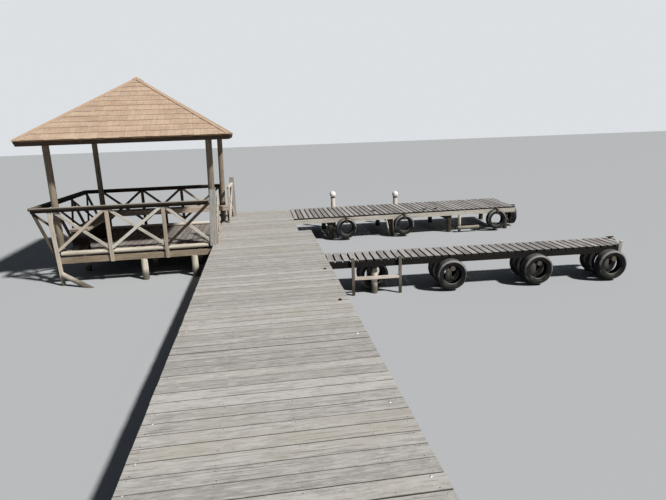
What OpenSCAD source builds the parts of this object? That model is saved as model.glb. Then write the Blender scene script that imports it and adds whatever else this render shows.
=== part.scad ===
// Wooden jetty on piles: a boarded walkway, a roofed shelter beside it and two berthing piers.
// X runs to the right across the walkway, Y along it away from the shore, Z up.
// The origin is on the walkway's centreline over its first pile row, level with the top of the boards.

/* [Walkway] */
// Length of one bay, from pile row to pile row
bay_len = 2500; // [2300:10:2700]
// Width of the walkway over its boards
walk_w = 2200; // [1900:10:2500]
// Thickness of the deck boards
board_t = 40; // [25:1:55]
// Where the walkway narrows, short of its far end
step_from_end = 3500; // [3000:10:4500]
// How much narrower the far stretch is
step_in = 300; // [100:10:500]
// Gap between one bay's boards and the next
bay_gap = 8; // [2:1:15]
// Distance of the first and last pile rows from the ends
row_inset = 120; // [100:5:250]

/* [Walkway frame] */
// Width of each lengthwise joist
joist_w = 70; // [45:1:90]
// Depth of each lengthwise joist
joist_h = 150; // [100:1:200]
// Overhang of the boards past the outer joists
board_overhang = 35; // [10:1:60]
// Width of the beams across the pile heads
head_beam_w = 120; // [80:1:160]
// Depth of the beams across the pile heads
head_beam_h = 130; // [90:1:150]
// Diameter of the walkway's piles
pile_d = 180; // [120:1:240]
// Distance of the piles from the edge of the boards
pile_inset = 260; // [160:5:400]
// Depth of the pile feet below the top of the boards
foot_depth = 650; // [600:5:900]
// Thickness of the closing beam at the landward end
end_beam_t = 60; // [40:1:80]

/* [Near pier] */
// Distance of the near pier's front edge from the landward end, at the walkway
near_from_shore = 8425; // [7500:5:9000]
// Angle by which the near pier slants back towards the shore
near_slant = 2.5; // [0:0.5:4]
// Width of the near pier
near_w = 660; // [620:5:800]
// Length of the near pier along its front
near_len = 5500; // [5420:10:6000]
// Further reach of the near pier at its back, where its end is cut askew
near_skew = 350; // [0:10:400]
// Width of the near pier's side beams
near_beam_w = 70; // [50:1:80]
// Depth of the near pier's side beams
near_beam_h = 100; // [70:1:120]
// Diameter of the logs that carry the near pier
near_log_d = 90; // [70:1:100]
// Flat sawn off the top and bottom of those logs
near_log_flat = 6; // [2:1:12]
// Height of the blocks between the logs and the side beams
near_block_h = 35; // [25:1:60]
// Diameter of the near pier's piles
near_pile_d = 110; // [80:1:120]
// Distance of the first set of tyres from the walkway
near_set_1 = 830; // [780:5:900]
// Distance of the second set of tyres from the walkway
near_set_2 = 2225; // [1600:5:2700]
// Distance of the third set of tyres from the walkway
near_set_3 = 3855; // [3400:5:4300]
// Distance of the last set of tyres from the pier's front end
near_end_set = 200; // [170:5:400]
// Outward lean of the pale stay at the end of the near pier, at its head
end_stay_out = 60; // [50:5:120]
// Height of the stay's head above the boards
end_stay_up = 78; // [20:2:120]
// Thickness of the stay
end_stay_t = 42; // [30:1:50]

/* [Ladder] */
// Thickness of the ladder's posts
ladder_post = 50; // [35:1:70]
// Clear width between the ladder's posts
ladder_w = 810; // [600:10:900]
// Depth of the ladder's step below the boards
ladder_step_depth = 310; // [200:5:400]
// Distance of the ladder from the walkway
ladder_from_walk = 405; // [300:5:430]

/* [Far pier] */
// Width of the far pier
far_w = 1800; // [1500:10:2000]
// Length of the far pier along its front
far_len = 6350; // [6300:10:7000]
// Further reach of the far pier at its back, where its end is cut askew
far_skew = 200; // [0:10:300]
// Thickness of the far pier's side beams
far_beam_w = 60; // [40:1:80]
// Depth of the far pier's side beams
far_beam_h = 120; // [90:1:150]
// Diameter of the far pier's piles
far_pile_d = 130; // [100:1:160]
// Distance of the first pile row from the walkway
far_first_row = 1020; // [800:10:1200]
// Spacing of the far pier's pile rows
far_row_pitch = 1700; // [1500:10:1720]
// Diameter of the slim pale pile in front
slim_pile_d = 80; // [60:1:100]
// Diameter of the thin stakes in front
stake_d = 38; // [30:1:60]
// Lean of the first thin stake
stake_lean = 12; // [0:1:15]
// Length of the log that floats by the slim pile
float_log_len = 620; // [400:10:800]

/* [Mooring posts] */
// Diameter of each mooring post
moor_d = 130; // [100:1:160]
// Height of the first mooring post above the boards
moor_h = 270; // [200:5:500]
// How much lower the second mooring post stands
moor_drop = 95; // [0:5:150]
// Diameter of the ball on each mooring post
ball_d = 190; // [150:1:220]
// Distance from the walkway to the first mooring post
moor_first = 1350; // [1000:10:1600]
// Distance between the mooring posts
moor_pitch = 1970; // [1500:10:2500]

/* [Tyres] */
// Outer diameter of a tyre
tyre_d = 560; // [520:1:570]
// Width of a tyre
tyre_w = 185; // [150:1:200]
// Diameter of the hole in a tyre
tyre_hole_d = 330; // [300:1:360]
// Thickness of a tyre's tread
tyre_tread_t = 16; // [12:1:24]
// Thickness of a tyre's side walls
tyre_wall_t = 10; // [7:1:14]

/* [Shelter floor] */
// Distance of the shelter's front from the landward end
shelter_from_shore = 10480; // [9800:10:10800]
// Width of the shelter's floor, across
shelter_w = 3130; // [3110:10:3400]
// Depth of the shelter's floor, along the walkway
shelter_l = 3350; // [3200:10:3500]
// Drop of the shelter's floor below the walkway's boards
floor_drop = 30; // [5:1:38]
// Thickness of the shelter's floor boards
floor_t = 45; // [30:1:60]
// Depth of the beams under the shelter's floor
floor_beam_h = 120; // [90:1:150]
// Width of the beams under the shelter's floor
floor_beam_w = 60; // [50:1:80]
// Diameter of the shelter's piles
shelter_pile_d = 130; // [100:1:150]
// Diameter of the log along the front edge of the floor
edge_log_d = 85; // [60:1:100]
// Diameter of the raking log under the front corner
rake_log_d = 100; // [70:1:120]

/* [Railings] */
// Height of the top of the handrails above the walkway's boards
rail_h = 965; // [850:5:1050]
// Width of the handrail boards
rail_cap_w = 140; // [100:1:160]
// Thickness of the handrail boards
rail_cap_t = 35; // [25:1:45]
// Width of the railing posts
rail_post_w = 72; // [60:1:110]
// Thickness of the railing posts
rail_post_t = 45; // [35:1:60]
// Width of the crossed battens
batten_w = 60; // [45:1:75]
// Thickness of the crossed battens
batten_t = 22; // [16:1:30]
// Outward lean of the left railing at the handrail
rail_lean = 330; // [200:5:400]
// Length of the side railing before the entrance
side_rail_len = 865; // [600:5:900]
// Distance of that railing from the edge of the walkway
side_inset = 50; // [0:5:80]
// Length of the side railing past the entrance
wing_len = 1100; // [900:10:1300]
// How far that railing starts short of the shelter's back edge
wing_lap = 680; // [600:10:800]
// Outward lean of the front corner post, in degrees
corner_lean = 2.5; // [0:0.5:5]
// Inward slant of that railing at its far end
wing_toe = 55; // [0:5:200]
// Distance of that railing from the roof post beside it
wing_off = 110; // [60:5:160]
// Height of the end post by the front railing above the walkway's boards
newel_h = 1190; // [1000:5:1250]
// How much lower the end post of the other railing stands
newel_drop = 90; // [0:5:150]
// Width of the end posts
newel_w = 125; // [90:1:140]
// Lean of the front end post towards the walkway, in degrees
newel_lean = 4; // [0:0.5:6]
// Distance of the middle of that post's foot from the edge of the walkway
newel_inset = 6; // [2:1:20]

/* [Benches] */
// Height of the bench seats above the walkway's boards
seat_h = 420; // [380:5:480]
// Depth of the bench seats
seat_w = 380; // [300:5:450]
// Thickness of the bench seats
seat_t = 50; // [35:1:70]

/* [Shelter posts] */
// Diameter of the round posts that carry the roof
post_d = 130; // [110:1:150]
// Distance of the left roof posts from the edge of the shelter's floor, to their centres
post_inset = 65; // [65:1:200]
// How far the right roof posts overhang the edge of the walkway
post_lap = 40; // [0:1:45]
// Distance of the back roof posts from the back edge of the floor, to their centres
post_back = 145; // [120:5:300]
// Lean of the right roof posts away from the shelter, in degrees
post_lean = 1.5; // [0:0.5:3]
// Height of the heads of the roof posts above the boards
post_h = 2330; // [2150:10:2500]

/* [Roof] */
// Overhang of the left and right eaves past the centres of the posts
eave_side = 390; // [350:5:450]
// Length of the short ridge
ridge_len = 260; // [200:10:600]
// Rise of the roof from eaves to ridge
roof_rise = 1260; // [1000:10:1400]
// Turn of the roof on its plates, in degrees
roof_turn = 2; // [0:0.5:2.5]
// Thickness of the boards under the shingles
roof_board_t = 22; // [18:1:30]
// Thickness of a shingle's lower edge
shingle_t = 20; // [12:1:30]
// Number of courses of shingles
course_n = 12; // [9:1:14]
// Depth of the fascia boards
fascia_h = 75; // [60:1:110]
// Thickness of the fascia boards
fascia_t = 28; // [20:1:40]
// Width of each side of the hip boards
hip_cap_w = 58; // [40:1:120]
// Thickness of the hip boards
hip_cap_t = 14; // [10:1:20]
// Width of the rafters
rafter_w = 60; // [45:1:80]
// Depth of the rafters, measured upright
rafter_h = 90; // [70:1:110]
// Width and depth of the wall plates on the posts
plate_w = 110; // [80:1:120]

/* [Hidden] */

// Number of whole bays
bay_n = 6;
shore_y = -row_inset;
sea_y = shore_y + bay_n * bay_len;
step_y = sea_y - step_from_end;
narrow_x = walk_w / 2 - step_in;
// Clearance left where a round piece lies against another
seat_gap = 0.3;
// Open joint between mitred boards
mitre_gap = 1;
// Length by which a cutting tool runs past what it cuts
past = 50;

joist_top = -board_t;
joist_bottom = joist_top - joist_h;
head_bottom = joist_bottom - head_beam_h;
outer_joist_x = walk_w / 2 - board_overhang - joist_w / 2;
narrow_joist_x = narrow_x - board_overhang - joist_w / 2;
side_face = outer_joist_x + joist_w / 2;
narrow_face = narrow_joist_x + joist_w / 2;

// One span of boards as a slab, from y0 to y1 and from x0 to x1
module slab(x0, x1, y0, y1, z0, z1) {
  translate([x0, y0, z0]) cube([x1 - x0, y1 - y0, z1 - z0]);
}

// A round pile from the foot up to a height
module pile(x, y, d, top) {
  translate([x, y, -foot_depth]) cylinder(h = foot_depth + top, d = d, $fn = 48);
}

// Boards of each bay, with the right side cut back past the step
module walkway_deck() {
  color("#aaa398") difference() {
    for (i = [0 : bay_n - 1])
      slab(-walk_w / 2, walk_w / 2, shore_y + i * bay_len + (i == 0 ? 0 : bay_gap), shore_y + (i + 1) * bay_len,
        -board_t, 0);
    slab(narrow_x, walk_w, step_y, sea_y + past, -board_t - past, past);
  }
}

module end_beam() {
  color("#8c8274") slab(-side_face, side_face, shore_y, shore_y + end_beam_t, joist_bottom, joist_top);
}

module walkway_joists() {
  inner = (outer_joist_x + narrow_joist_x) / 3;
  color("#7d7263") {
    for (x = [-outer_joist_x : inner : narrow_joist_x + 1])
      slab(x - joist_w / 2, x + joist_w / 2, shore_y + end_beam_t, sea_y, joist_bottom, joist_top);
    slab(side_face - joist_w, side_face, shore_y + end_beam_t, step_y, joist_bottom, joist_top);
  }
}

// Places of the pile rows along the walkway
row_y = [for (i = [0 : bay_n]) i == bay_n ? sea_y - row_inset : i * bay_len];

// Right end of a row's head beam
function row_right(y) = y > step_y ? narrow_face : side_face;

module walkway_head_beams() {
  color("#6f6557") for (y = row_y)
    slab(-side_face, row_right(y), y - head_beam_w / 2, y + head_beam_w / 2, head_bottom, joist_bottom);
}

module walkway_piles() {
  color("#5e5548") for (y = row_y) {
    pile(-walk_w / 2 + pile_inset, y, pile_d, head_bottom);
    pile((y > step_y ? narrow_x : walk_w / 2) - pile_inset, y, pile_d, head_bottom);
  }
}

near_x0 = walk_w / 2;
near_y0 = shore_y + near_from_shore;
near_beam_bottom = -board_t - near_beam_h;
near_log_top = near_beam_bottom - near_block_h;
near_log_h = near_log_d - 2 * near_log_flat;
near_log_bottom = near_log_top - near_log_h;
near_log_z = near_log_top - near_log_h / 2;
near_sets = [near_set_1, near_set_2, near_set_3, near_len - near_end_set];
// A tyre hangs with the top of its hole on the upper edges of the log
log_flat_half = sqrt(pow(near_log_d, 2) - pow(near_log_h, 2)) / 2;
tyre_z = near_log_top + seat_gap - sqrt(pow(tyre_hole_d / 2, 2) - pow(log_flat_half, 2));
near_pile_front = near_pile_d / 2;
near_pile_back = near_w - near_pile_d / 2;

// The near pier's own frame: x along the pier from the walkway, y from its front edge
module on_near_pier() {
  translate([near_x0, near_y0, 0]) rotate(-near_slant) children();
}

// Reach of the near pier at a distance y behind its front edge, for its skew end
function near_end(y) = near_len + near_skew * y / near_w;

// A slab whose right end follows the skew end of the near pier
module near_slab(x0, y0, y1, z0, z1) {
  translate([0, 0, z0]) linear_extrude(z1 - z0)
    polygon([[x0, y0], [near_end(y0), y0], [near_end(y1), y1], [x0, y1]]);
}

// What is left of a piece of the near pier beyond a face of the walkway
module clear_of_walkway(face) {
  difference() {
    on_near_pier() children();
    slab(face - walk_w, face, 0, sea_y, -foot_depth, past);
  }
}

module near_pier_deck() {
  color("#b0aca4") clear_of_walkway(near_x0) near_slab(-past, 0, near_w, -board_t, 0);
}

module near_pier_beams() {
  color("#4d463d") clear_of_walkway(side_face) for (y = [0, near_w - near_beam_w])
    near_slab(-2 * past, y, y + near_beam_w, near_beam_bottom, -board_t);
}

module near_pier_blocks() {
  color("#544c42") on_near_pier() for (x = near_sets, y = [0, near_w - near_beam_w])
    slab(x - near_log_d / 2, x + near_log_d / 2, y, y + near_beam_w, near_log_top, near_beam_bottom);
}

// A log sawn flat above and below, so that it beds on the pile heads
module near_log(x, front) {
  translate([x, front, near_log_z]) rotate([-90, 0, 0]) linear_extrude(near_w - front)
    intersection() {
      circle(d = near_log_d, $fn = 40);
      square([near_log_d + past, near_log_h], center = true);
    }
}

module near_pier_logs() {
  color("#9a8a70") on_near_pier() for (i = [0 : len(near_sets) - 1])
    near_log(near_sets[i], i == 0 ? 0 : proud_y - seat_gap);
}

module near_pier_piles() {
  color("#c9bfa6") on_near_pier() for (x = near_sets) {
    pile(x, near_pile_front, near_pile_d, near_log_bottom);
    pile(x, near_pile_back, near_pile_d, near_log_bottom);
  }
}

// A pale stake nailed to the skew end of the near pier, its head leaning outwards above the boards
module end_stay() {
  head = near_beam_h + board_t + end_stay_up;
  color("#dcd8cc") on_near_pier() translate([near_len, 0, near_beam_bottom]) rotate(-atan2(near_skew, near_w))
    rotate([90, 0, 0]) translate([0, 0, -near_beam_w]) linear_extrude(near_beam_w) polygon([
      [0, 0], [0, near_beam_h + board_t], [end_stay_out - end_stay_t, head], [end_stay_out, head], [end_stay_t, 0]
    ]);
}

// Half section of a tyre: an open carcass with beads, side walls and a grooved tread
tyre_r = tyre_d / 2;
bead_r = tyre_hole_d / 2;
half_w = tyre_w / 2;
shoulder = tyre_w * 0.17;
bead_w = tyre_w * 0.36;
bulge_r = bead_r + (tyre_r - bead_r) * 0.55;
groove_w = tyre_w * 0.05;
groove_deep = tyre_tread_t * 0.5;
module tyre_side() {
  polygon([
    [bead_r, bead_w - 2 * tyre_wall_t], [bead_r, bead_w],
    [bead_r + 2 * tyre_wall_t, bead_w + tyre_wall_t], [bulge_r, half_w],
    [tyre_r - shoulder, half_w - shoulder * 0.15], [tyre_r - shoulder * 0.3, half_w - shoulder * 0.5],
    [tyre_r, half_w - shoulder * 1.1],
    [tyre_r, tyre_w * 0.2 + groove_w], [tyre_r - groove_deep, tyre_w * 0.2 + groove_w],
    [tyre_r - groove_deep, tyre_w * 0.2], [tyre_r, tyre_w * 0.2],
    [tyre_r, groove_w / 2], [tyre_r - groove_deep, groove_w / 2], [tyre_r - groove_deep, 0],
    [tyre_r - tyre_tread_t, 0], [tyre_r - tyre_tread_t, half_w - shoulder * 1.3],
    [tyre_r - shoulder * 0.8 - tyre_wall_t, half_w - shoulder * 0.4 - tyre_wall_t],
    [bulge_r, half_w - tyre_wall_t], [bead_r + 2 * tyre_wall_t, bead_w]
  ]);
}

// A tyre with its axle along Y, from y = 0 to y = tyre_w
module tyre() {
  translate([0, tyre_w / 2, 0]) rotate([90, 0, 0]) rotate_extrude($fn = 72) {
    tyre_side();
    mirror([0, 1, 0]) tyre_side();
  }
}

// Front faces of the tyres in a set: one proud of the pier, then two between its beams
proud_y = near_pile_front - near_pile_d / 2 - seat_gap - tyre_w;
inner_y = near_pile_front + near_pile_d / 2 + seat_gap;

// Open joint between two tyres side by side
tyre_gap = 2;
module near_tyres() {
  color("#26262a") on_near_pier() for (i = [0 : len(near_sets) - 1]) {
    rows = concat(i == 0 ? [] : [proud_y], [inner_y, inner_y + tyre_w + tyre_gap]);
    for (y = rows) translate([near_sets[i], y, tyre_z]) tyre();
  }
}

module ladder_posts() {
  color("#b8b4a8") on_near_pier() for (x = [ladder_from_walk, ladder_from_walk + ladder_w + ladder_post])
    slab(x, x + ladder_post, -ladder_post, 0, -foot_depth, board_t);
}

module ladder_step() {
  color("#c8bfae") on_near_pier() slab(
    ladder_from_walk + ladder_post, ladder_from_walk + ladder_post + ladder_w,
    -ladder_post, 0, -ladder_step_depth - ladder_post, -ladder_step_depth);
}

far_x0 = narrow_x;
far_x1 = far_x0 + far_len;
far_y1 = sea_y;
far_y0 = far_y1 - far_w;
far_beam_bottom = -board_t - far_beam_h;
far_head_bottom = far_beam_bottom - head_beam_h;
// Number of pile rows under the far pier
far_row_n = 4;
function far_row_x(i) = far_x0 + far_first_row + i * far_row_pitch;

// Reach of the far pier at a distance y along the walkway, for its skew end
function far_end(y) = far_x1 + far_skew * (y - far_y0) / far_w;
far_end_angle = atan2(far_skew, far_w);

// A slab whose right end follows the skew end of the far pier
module far_slab(x0, y0, y1, z0, z1) {
  translate([0, 0, z0]) linear_extrude(z1 - z0)
    polygon([[x0, y0], [far_end(y0), y0], [far_end(y1), y1], [x0, y1]]);
}

module far_pier_deck() {
  color("#b3a79c") far_slab(far_x0, far_y0, far_y1, -board_t, 0);
}

module far_pier_beams() {
  pitch = (far_w - far_beam_w) / 3;
  color("#d8cfb8") for (i = [0 : 3])
    far_slab(narrow_face, far_y0 + i * pitch, far_y0 + i * pitch + far_beam_w, far_beam_bottom, -board_t);
}

module far_pier_head_beams() {
  color("#5b5246") for (i = [0 : far_row_n - 1])
    slab(far_row_x(i) - head_beam_w / 2, far_row_x(i) + head_beam_w / 2,
      far_y0 + far_beam_w, far_y1, far_head_bottom, far_beam_bottom);
}

module far_pier_piles() {
  color("#4f473c") for (i = [0 : far_row_n - 1], y = [far_y0 + far_beam_w + far_pile_d / 2, far_y1 - far_pile_d / 2])
    pile(far_row_x(i), y, far_pile_d, far_head_bottom);
}

slim_x = far_row_x(2) + far_row_pitch * 0.17;
stake_x = far_row_x(1) - far_row_pitch * 0.09;
// The slim pile and two thin stakes, all under the front beam
module pale_stakes() {
  color("#e2dcc8") {
    pile(slim_x, far_y0 + slim_pile_d / 2, slim_pile_d, far_beam_bottom);
    intersection() {
      translate([stake_x, far_y0 + stake_d / 2, far_beam_bottom]) rotate([0, 180 - stake_lean, 0])
        translate([0, 0, -past]) cylinder(h = foot_depth + past, d = stake_d, $fn = 24);
      slab(stake_x - foot_depth, stake_x + foot_depth, far_y0, far_y1, -foot_depth, far_beam_bottom);
    }
    pile(stake_x + far_row_pitch * 0.12, far_y0 + stake_d / 2, stake_d, far_beam_bottom);
  }
}

// One log rakes down from the shelter's corner post, one floats against the slim pile
module loose_logs() {
  color("#cdbf9f") {
    difference() {
      translate([corner_x, shelter_y0 - rail_post_t / 2, rake_z]) rotate([0, 0, -rake_turn]) rotate([0, 90 + rake_dip, 0])
        cylinder(h = shelter_w / 2, d = rake_log_d, $fn = 36);
      on_corner_post() slab(-shelter_w, rail_post_w / 2 + seat_gap, -shelter_l, shelter_l, -shelter_w, shelter_w);
      slab(2 * shelter_x0, 0, 0, sea_y, -foot_depth - shelter_w, -foot_depth);
    }
    translate([slim_x - slim_pile_d, far_y0 - rake_log_d / 2 - seat_gap, -foot_depth + 1.3 * rake_log_d])
      rotate([0, 90, 0]) cylinder(h = float_log_len, d = rake_log_d, $fn = 36);
  }
}

// Tyres on the far pier hang flat against its front beam and its end
far_tyre_z = -tyre_r - board_t;
far_tyre_x = [far_row_x(0) + 400, far_row_x(1) + 320, far_row_x(3) - 380];
end_tyre_y = far_y0 + tyre_r + 250;
// Places a piece made against the plane y = 0 at each tyre of the far pier
module at_far_tyres() {
  for (x = far_tyre_x) translate([x, far_y0 - seat_gap, 0]) children();
  translate([far_end(end_tyre_y), end_tyre_y, 0]) rotate(90 - far_end_angle) translate([0, -seat_gap, 0]) children();
}

module far_tyres() {
  color("#26262a") at_far_tyres() translate([0, -tyre_w, far_tyre_z]) tyre();
}

strap_w = 50;
strap_t = 8;
strap_gap = 3;
// A strap nailed to the pier that runs over the tread and back through the hole
module tyre_straps() {
  reach = tyre_w + strap_gap;
  top = -board_t + strap_gap;
  low = top - strap_gap - (tyre_r - bead_r) - strap_gap;
  color("#5a4634") at_far_tyres() rotate([90, 0, 90]) linear_extrude(strap_w, center = true) difference() {
    translate([-reach - strap_t, low - strap_t]) square([reach + strap_t, top - low + 2 * strap_t]);
    translate([-reach, low]) square([reach + past, top - low]);
  }
}

cleat_l = 150;
cleat_h = 45;
// Places of the far pier's cleats, as steps back from a pile row and distances behind the front edge
far_cleats = [
  [far_row_x(1) - far_row_pitch * 0.24, 475], [far_row_x(2) - far_row_pitch * 0.41, 220],
  [far_row_x(2) - far_row_pitch * 0.22, 220]
];
// Distance of the near pier's cleat from its end and from its back edge
near_cleat_in = [110, 120];
// Distances of the iron studs on the walkway from the near pier and from the walkway's edge
stud_y = [450, 2090];
stud_in = 130;
// A two-horned cleat lying along X
module cleat(l) {
  rotate([90, 0, 0]) linear_extrude(cleat_h / 2, center = true) polygon([
    [-l / 6, 0], [-l / 6, cleat_h / 2], [-l / 2, cleat_h * 0.7], [-l / 2, cleat_h], [l / 2, cleat_h],
    [l / 2, cleat_h * 0.7], [l / 6, cleat_h / 2], [l / 6, 0]
  ]);
}

module cleats() {
  color("#2c2a28") {
    for (p = far_cleats) translate([p[0], far_y0 + p[1], 0]) cleat(cleat_l);
    on_near_pier() translate([near_end(near_w - near_cleat_in[1]) - near_cleat_in[0], near_w - near_cleat_in[1], 0])
      cleat(cleat_l);
    for (y = stud_y) translate([walk_w / 2 - stud_in, near_y0 - y, 0])
      cylinder(h = cleat_h / 3, d = cleat_h, $fn = 24);
  }
}

moor_y = sea_y + moor_d / 2 + seat_gap;
function moor_x(i) = far_x0 + moor_first + i * moor_pitch;
function moor_top(i) = moor_h - i * moor_drop;
module mooring_posts() {
  color("#c9c2b0") for (i = [0, 1]) pile(moor_x(i), moor_y, moor_d, moor_top(i));
}

collar_h = 26;
module mooring_collars() {
  color("#2c2a28") for (i = [0, 1]) translate([moor_x(i), moor_y, moor_top(i)])
    cylinder(h = collar_h, d = moor_d + 6, $fn = 48);
}

// Each ball is cut flat where it sits on its collar
module mooring_balls() {
  flat = ball_d * 0.06;
  color("#f0f0ec") for (i = [0, 1]) translate([moor_x(i), moor_y, moor_top(i) + collar_h]) intersection() {
    translate([0, 0, ball_d / 2 - flat]) sphere(d = ball_d, $fn = 40);
    translate([-ball_d, -ball_d, 0]) cube(2 * ball_d);
  }
}

shelter_x1 = -walk_w / 2;
shelter_x0 = shelter_x1 - shelter_w;
shelter_y0 = shore_y + shelter_from_shore;
shelter_y1 = shelter_y0 + shelter_l;
floor_top = -floor_drop;
floor_bottom = floor_top - floor_t;
floor_beam_bottom = floor_bottom - floor_beam_h;

module shelter_floor() {
  color("#a39c92") slab(shelter_x0, shelter_x1, shelter_y0, shelter_y1, floor_bottom, floor_top);
}

// Number of beams under the shelter
floor_beam_n = 4;
floor_beam_pitch = (shelter_l - floor_beam_w) / (floor_beam_n - 1);
module shelter_beams() {
  color("#b08a62") for (i = [0 : floor_beam_n - 1])
    slab(shelter_x0, -side_face, shelter_y0 + i * floor_beam_pitch,
      shelter_y0 + i * floor_beam_pitch + floor_beam_w, floor_beam_bottom, floor_bottom);
}

shelter_pile_x = [
  shelter_x0 + shelter_pile_d * 1.5, shelter_x0 + shelter_w * 0.54, shelter_x1 - shelter_w * 0.13
];
// The corner post of the railing stands in for the pile at the front left
module shelter_piles() {
  color("#6a5d4b") for (i = [0 : floor_beam_n - 1], j = [0 : 2]) if (i + j > 0)
    pile(shelter_pile_x[j], shelter_y0 + i * floor_beam_pitch + floor_beam_w / 2, shelter_pile_d, floor_beam_bottom);
}

// A log along the front edge of the floor and one at the foot of the back bench
module floor_logs() {
  color("#d2c6ae") for (y = [shelter_y0, bench_front_y - edge_log_d - seat_gap])
    translate([shelter_x0 + edge_log_d, y + edge_log_d / 2, floor_top + edge_log_d / 2])
      rotate([0, 90, 0]) cylinder(h = shelter_w - 2 * edge_log_d, d = edge_log_d, $fn = 36);
}

bench_back_y = shelter_y1 - rail_post_t;
bench_front_y = bench_back_y - seat_w;
left_bench_y = shelter_y0 + 500;
post_x0 = shelter_x0 + post_inset;
post_x1 = shelter_x1 + post_d / 2 - post_lap;
post_y0 = shelter_y0 + edge_log_d + post_d / 2 + seat_gap;
post_y1 = shelter_y1 - post_back;
// Middle of the heads of the right posts, and the distances between heads
head_x1 = post_x1 + post_h * tan(post_lean);
post_span_x = head_x1 - post_x0;
post_span_y = post_y1 - post_y0;

rail_under = rail_h - rail_cap_t;
rail_foot = floor_beam_bottom;
// Turn of the raking log from the shelter's front, and its dip below level
rake_turn = 24;
rake_dip = 22;
rake_z = floor_beam_bottom - 2 * rake_log_d;
brace_low = floor_top + edge_log_d;

// A crossed bay in the XZ plane between two posts, braces from corner to corner
module cross_bay(x0, x1, z0, z1, mid) {
  for (flip = [0, 1]) {
    a = flip ? z1 : z0;
    b = flip ? z0 : z1;
    slope = atan2(b - a, x1 - x0);
    half = batten_w / 2 / cos(slope);
    translate([0, mid + batten_t / 2, 0]) rotate([90, 0, 0]) linear_extrude(batten_t)
      intersection() {
        polygon([[x0, a - half], [x1, b - half], [x1, b + half], [x0, a + half]]);
        translate([x0, z0]) square([x1 - x0, z1 - z0]);
      }
  }
}

// A railing from a list of post centres: posts and crossed battens in one flat frame. The first post may be
// left out, and the battens then run on to its centre.
module railing(posts, foot, low, high, mid, first = 0) {
  half = rail_post_w / 2;
  lap = 5;
  for (i = [first : len(posts) - 1])
    slab(posts[i] - half, posts[i] + half, mid - rail_post_t / 2, mid + rail_post_t / 2, foot, high);
  for (i = [0 : len(posts) - 2])
    cross_bay(posts[i] + (i < first ? 0 : half - lap), posts[i + 1] - half + lap, low, high, mid);
}

corner_x = shelter_x0 + rail_post_w / 2;
// The leaning frame of the corner post, from the middle of its face at the foot of the railing
module on_corner_post() {
  translate([corner_x, shelter_y0 - rail_post_t, rail_foot]) rotate([0, -corner_lean, 0]) children();
}

front_posts = [corner_x, shelter_x0 + shelter_w * 0.345, shelter_x0 + shelter_w * 0.7,
  shelter_x1 - rail_post_w / 2];
// The front railing has a corner post that leans out and runs down to the foot, and an end post at the walkway
module front_railing() {
  color("#cfc5b0") {
    railing(front_posts, rail_foot, brace_low, rail_under, shelter_y0 - rail_post_t / 2, 1);
    intersection() {
      on_corner_post() slab(-rail_post_w / 2, rail_post_w / 2, 0, rail_post_t, -foot_depth, rail_h + foot_depth);
      slab(2 * shelter_x0, shelter_x1, 0, sea_y, -foot_depth, rail_under);
    }
    intersection() {
      translate([shelter_x1 + newel_inset, shelter_y0, 0]) rotate([0, newel_lean, 0])
        slab(-newel_w / 2, newel_w / 2, -rail_post_t, 0, -past, newel_h + past);
      slab(2 * shelter_x1, 0, 0, sea_y, 0, newel_h);
    }
  }
}

back_posts = [for (i = [0 : 3]) shelter_x0 + rail_post_w / 2 + i * (shelter_w - rail_post_w) / 3];
module back_railing() {
  color("#b9ad98") railing(back_posts, rail_foot, brace_low, rail_under, shelter_y1 + rail_post_t / 2);
}

// Height of the left railing above the edge of the floor that it leans out from
lean_rise = rail_under - floor_top;
lean_angle = atan2(rail_lean, lean_rise);
left_posts = [for (i = [0 : 3]) rail_post_w / 2 + i * (shelter_l - rail_post_w) / 3];
// The left railing is scribed against the edge of the floor and leans outwards
module left_railing() {
  color("#b3a68f") difference() {
    translate([shelter_x0, shelter_y0, floor_top]) rotate([0, -lean_angle, 0]) rotate([0, 0, 90])
      railing(left_posts, -floor_t - past, edge_log_d, lean_rise / cos(lean_angle) + past, rail_post_t / 2);
    slab(shelter_x0, 0, 0, sea_y, -foot_depth, rail_h);
    slab(2 * shelter_x0, 0, 0, sea_y, rail_under, 2 * rail_h);
  }
}

side_x = shelter_x1 + side_inset + rail_post_t / 2;
side_y0 = post_y0 + post_d / 2 + seat_gap;
// The side railing stands on the edge of the walkway, from the roof post to the entrance
module side_railing() {
  color("#d3cab8") translate([side_x, side_y0, 0]) rotate([0, 0, 90])
    railing([rail_post_w / 2, side_rail_len - rail_post_w / 2], 0, edge_log_d, rail_under, 0);
}

wing_x = post_x1 + post_d / 2 + wing_off;
wing_y0 = shelter_y1 - wing_lap;
wing_angle = asin(wing_toe / wing_len);
// Past the entrance the side railing slants in to its end post, under a top rail
module wing_railing() {
  color("#d8d0c0") translate([wing_x, wing_y0, 0]) rotate([0, 0, 90 - wing_angle]) {
    railing([rail_post_w / 2, wing_len - rail_post_w / 2], 0, edge_log_d, rail_under, -rail_post_t / 2);
    slab(0, wing_len, -rail_post_t, 0, rail_h - rail_post_w, rail_h);
    slab(wing_len, wing_len + rail_post_t, -(rail_post_t + newel_w) / 2, (newel_w - rail_post_t) / 2,
      0, newel_h - newel_drop);
  }
}

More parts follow.
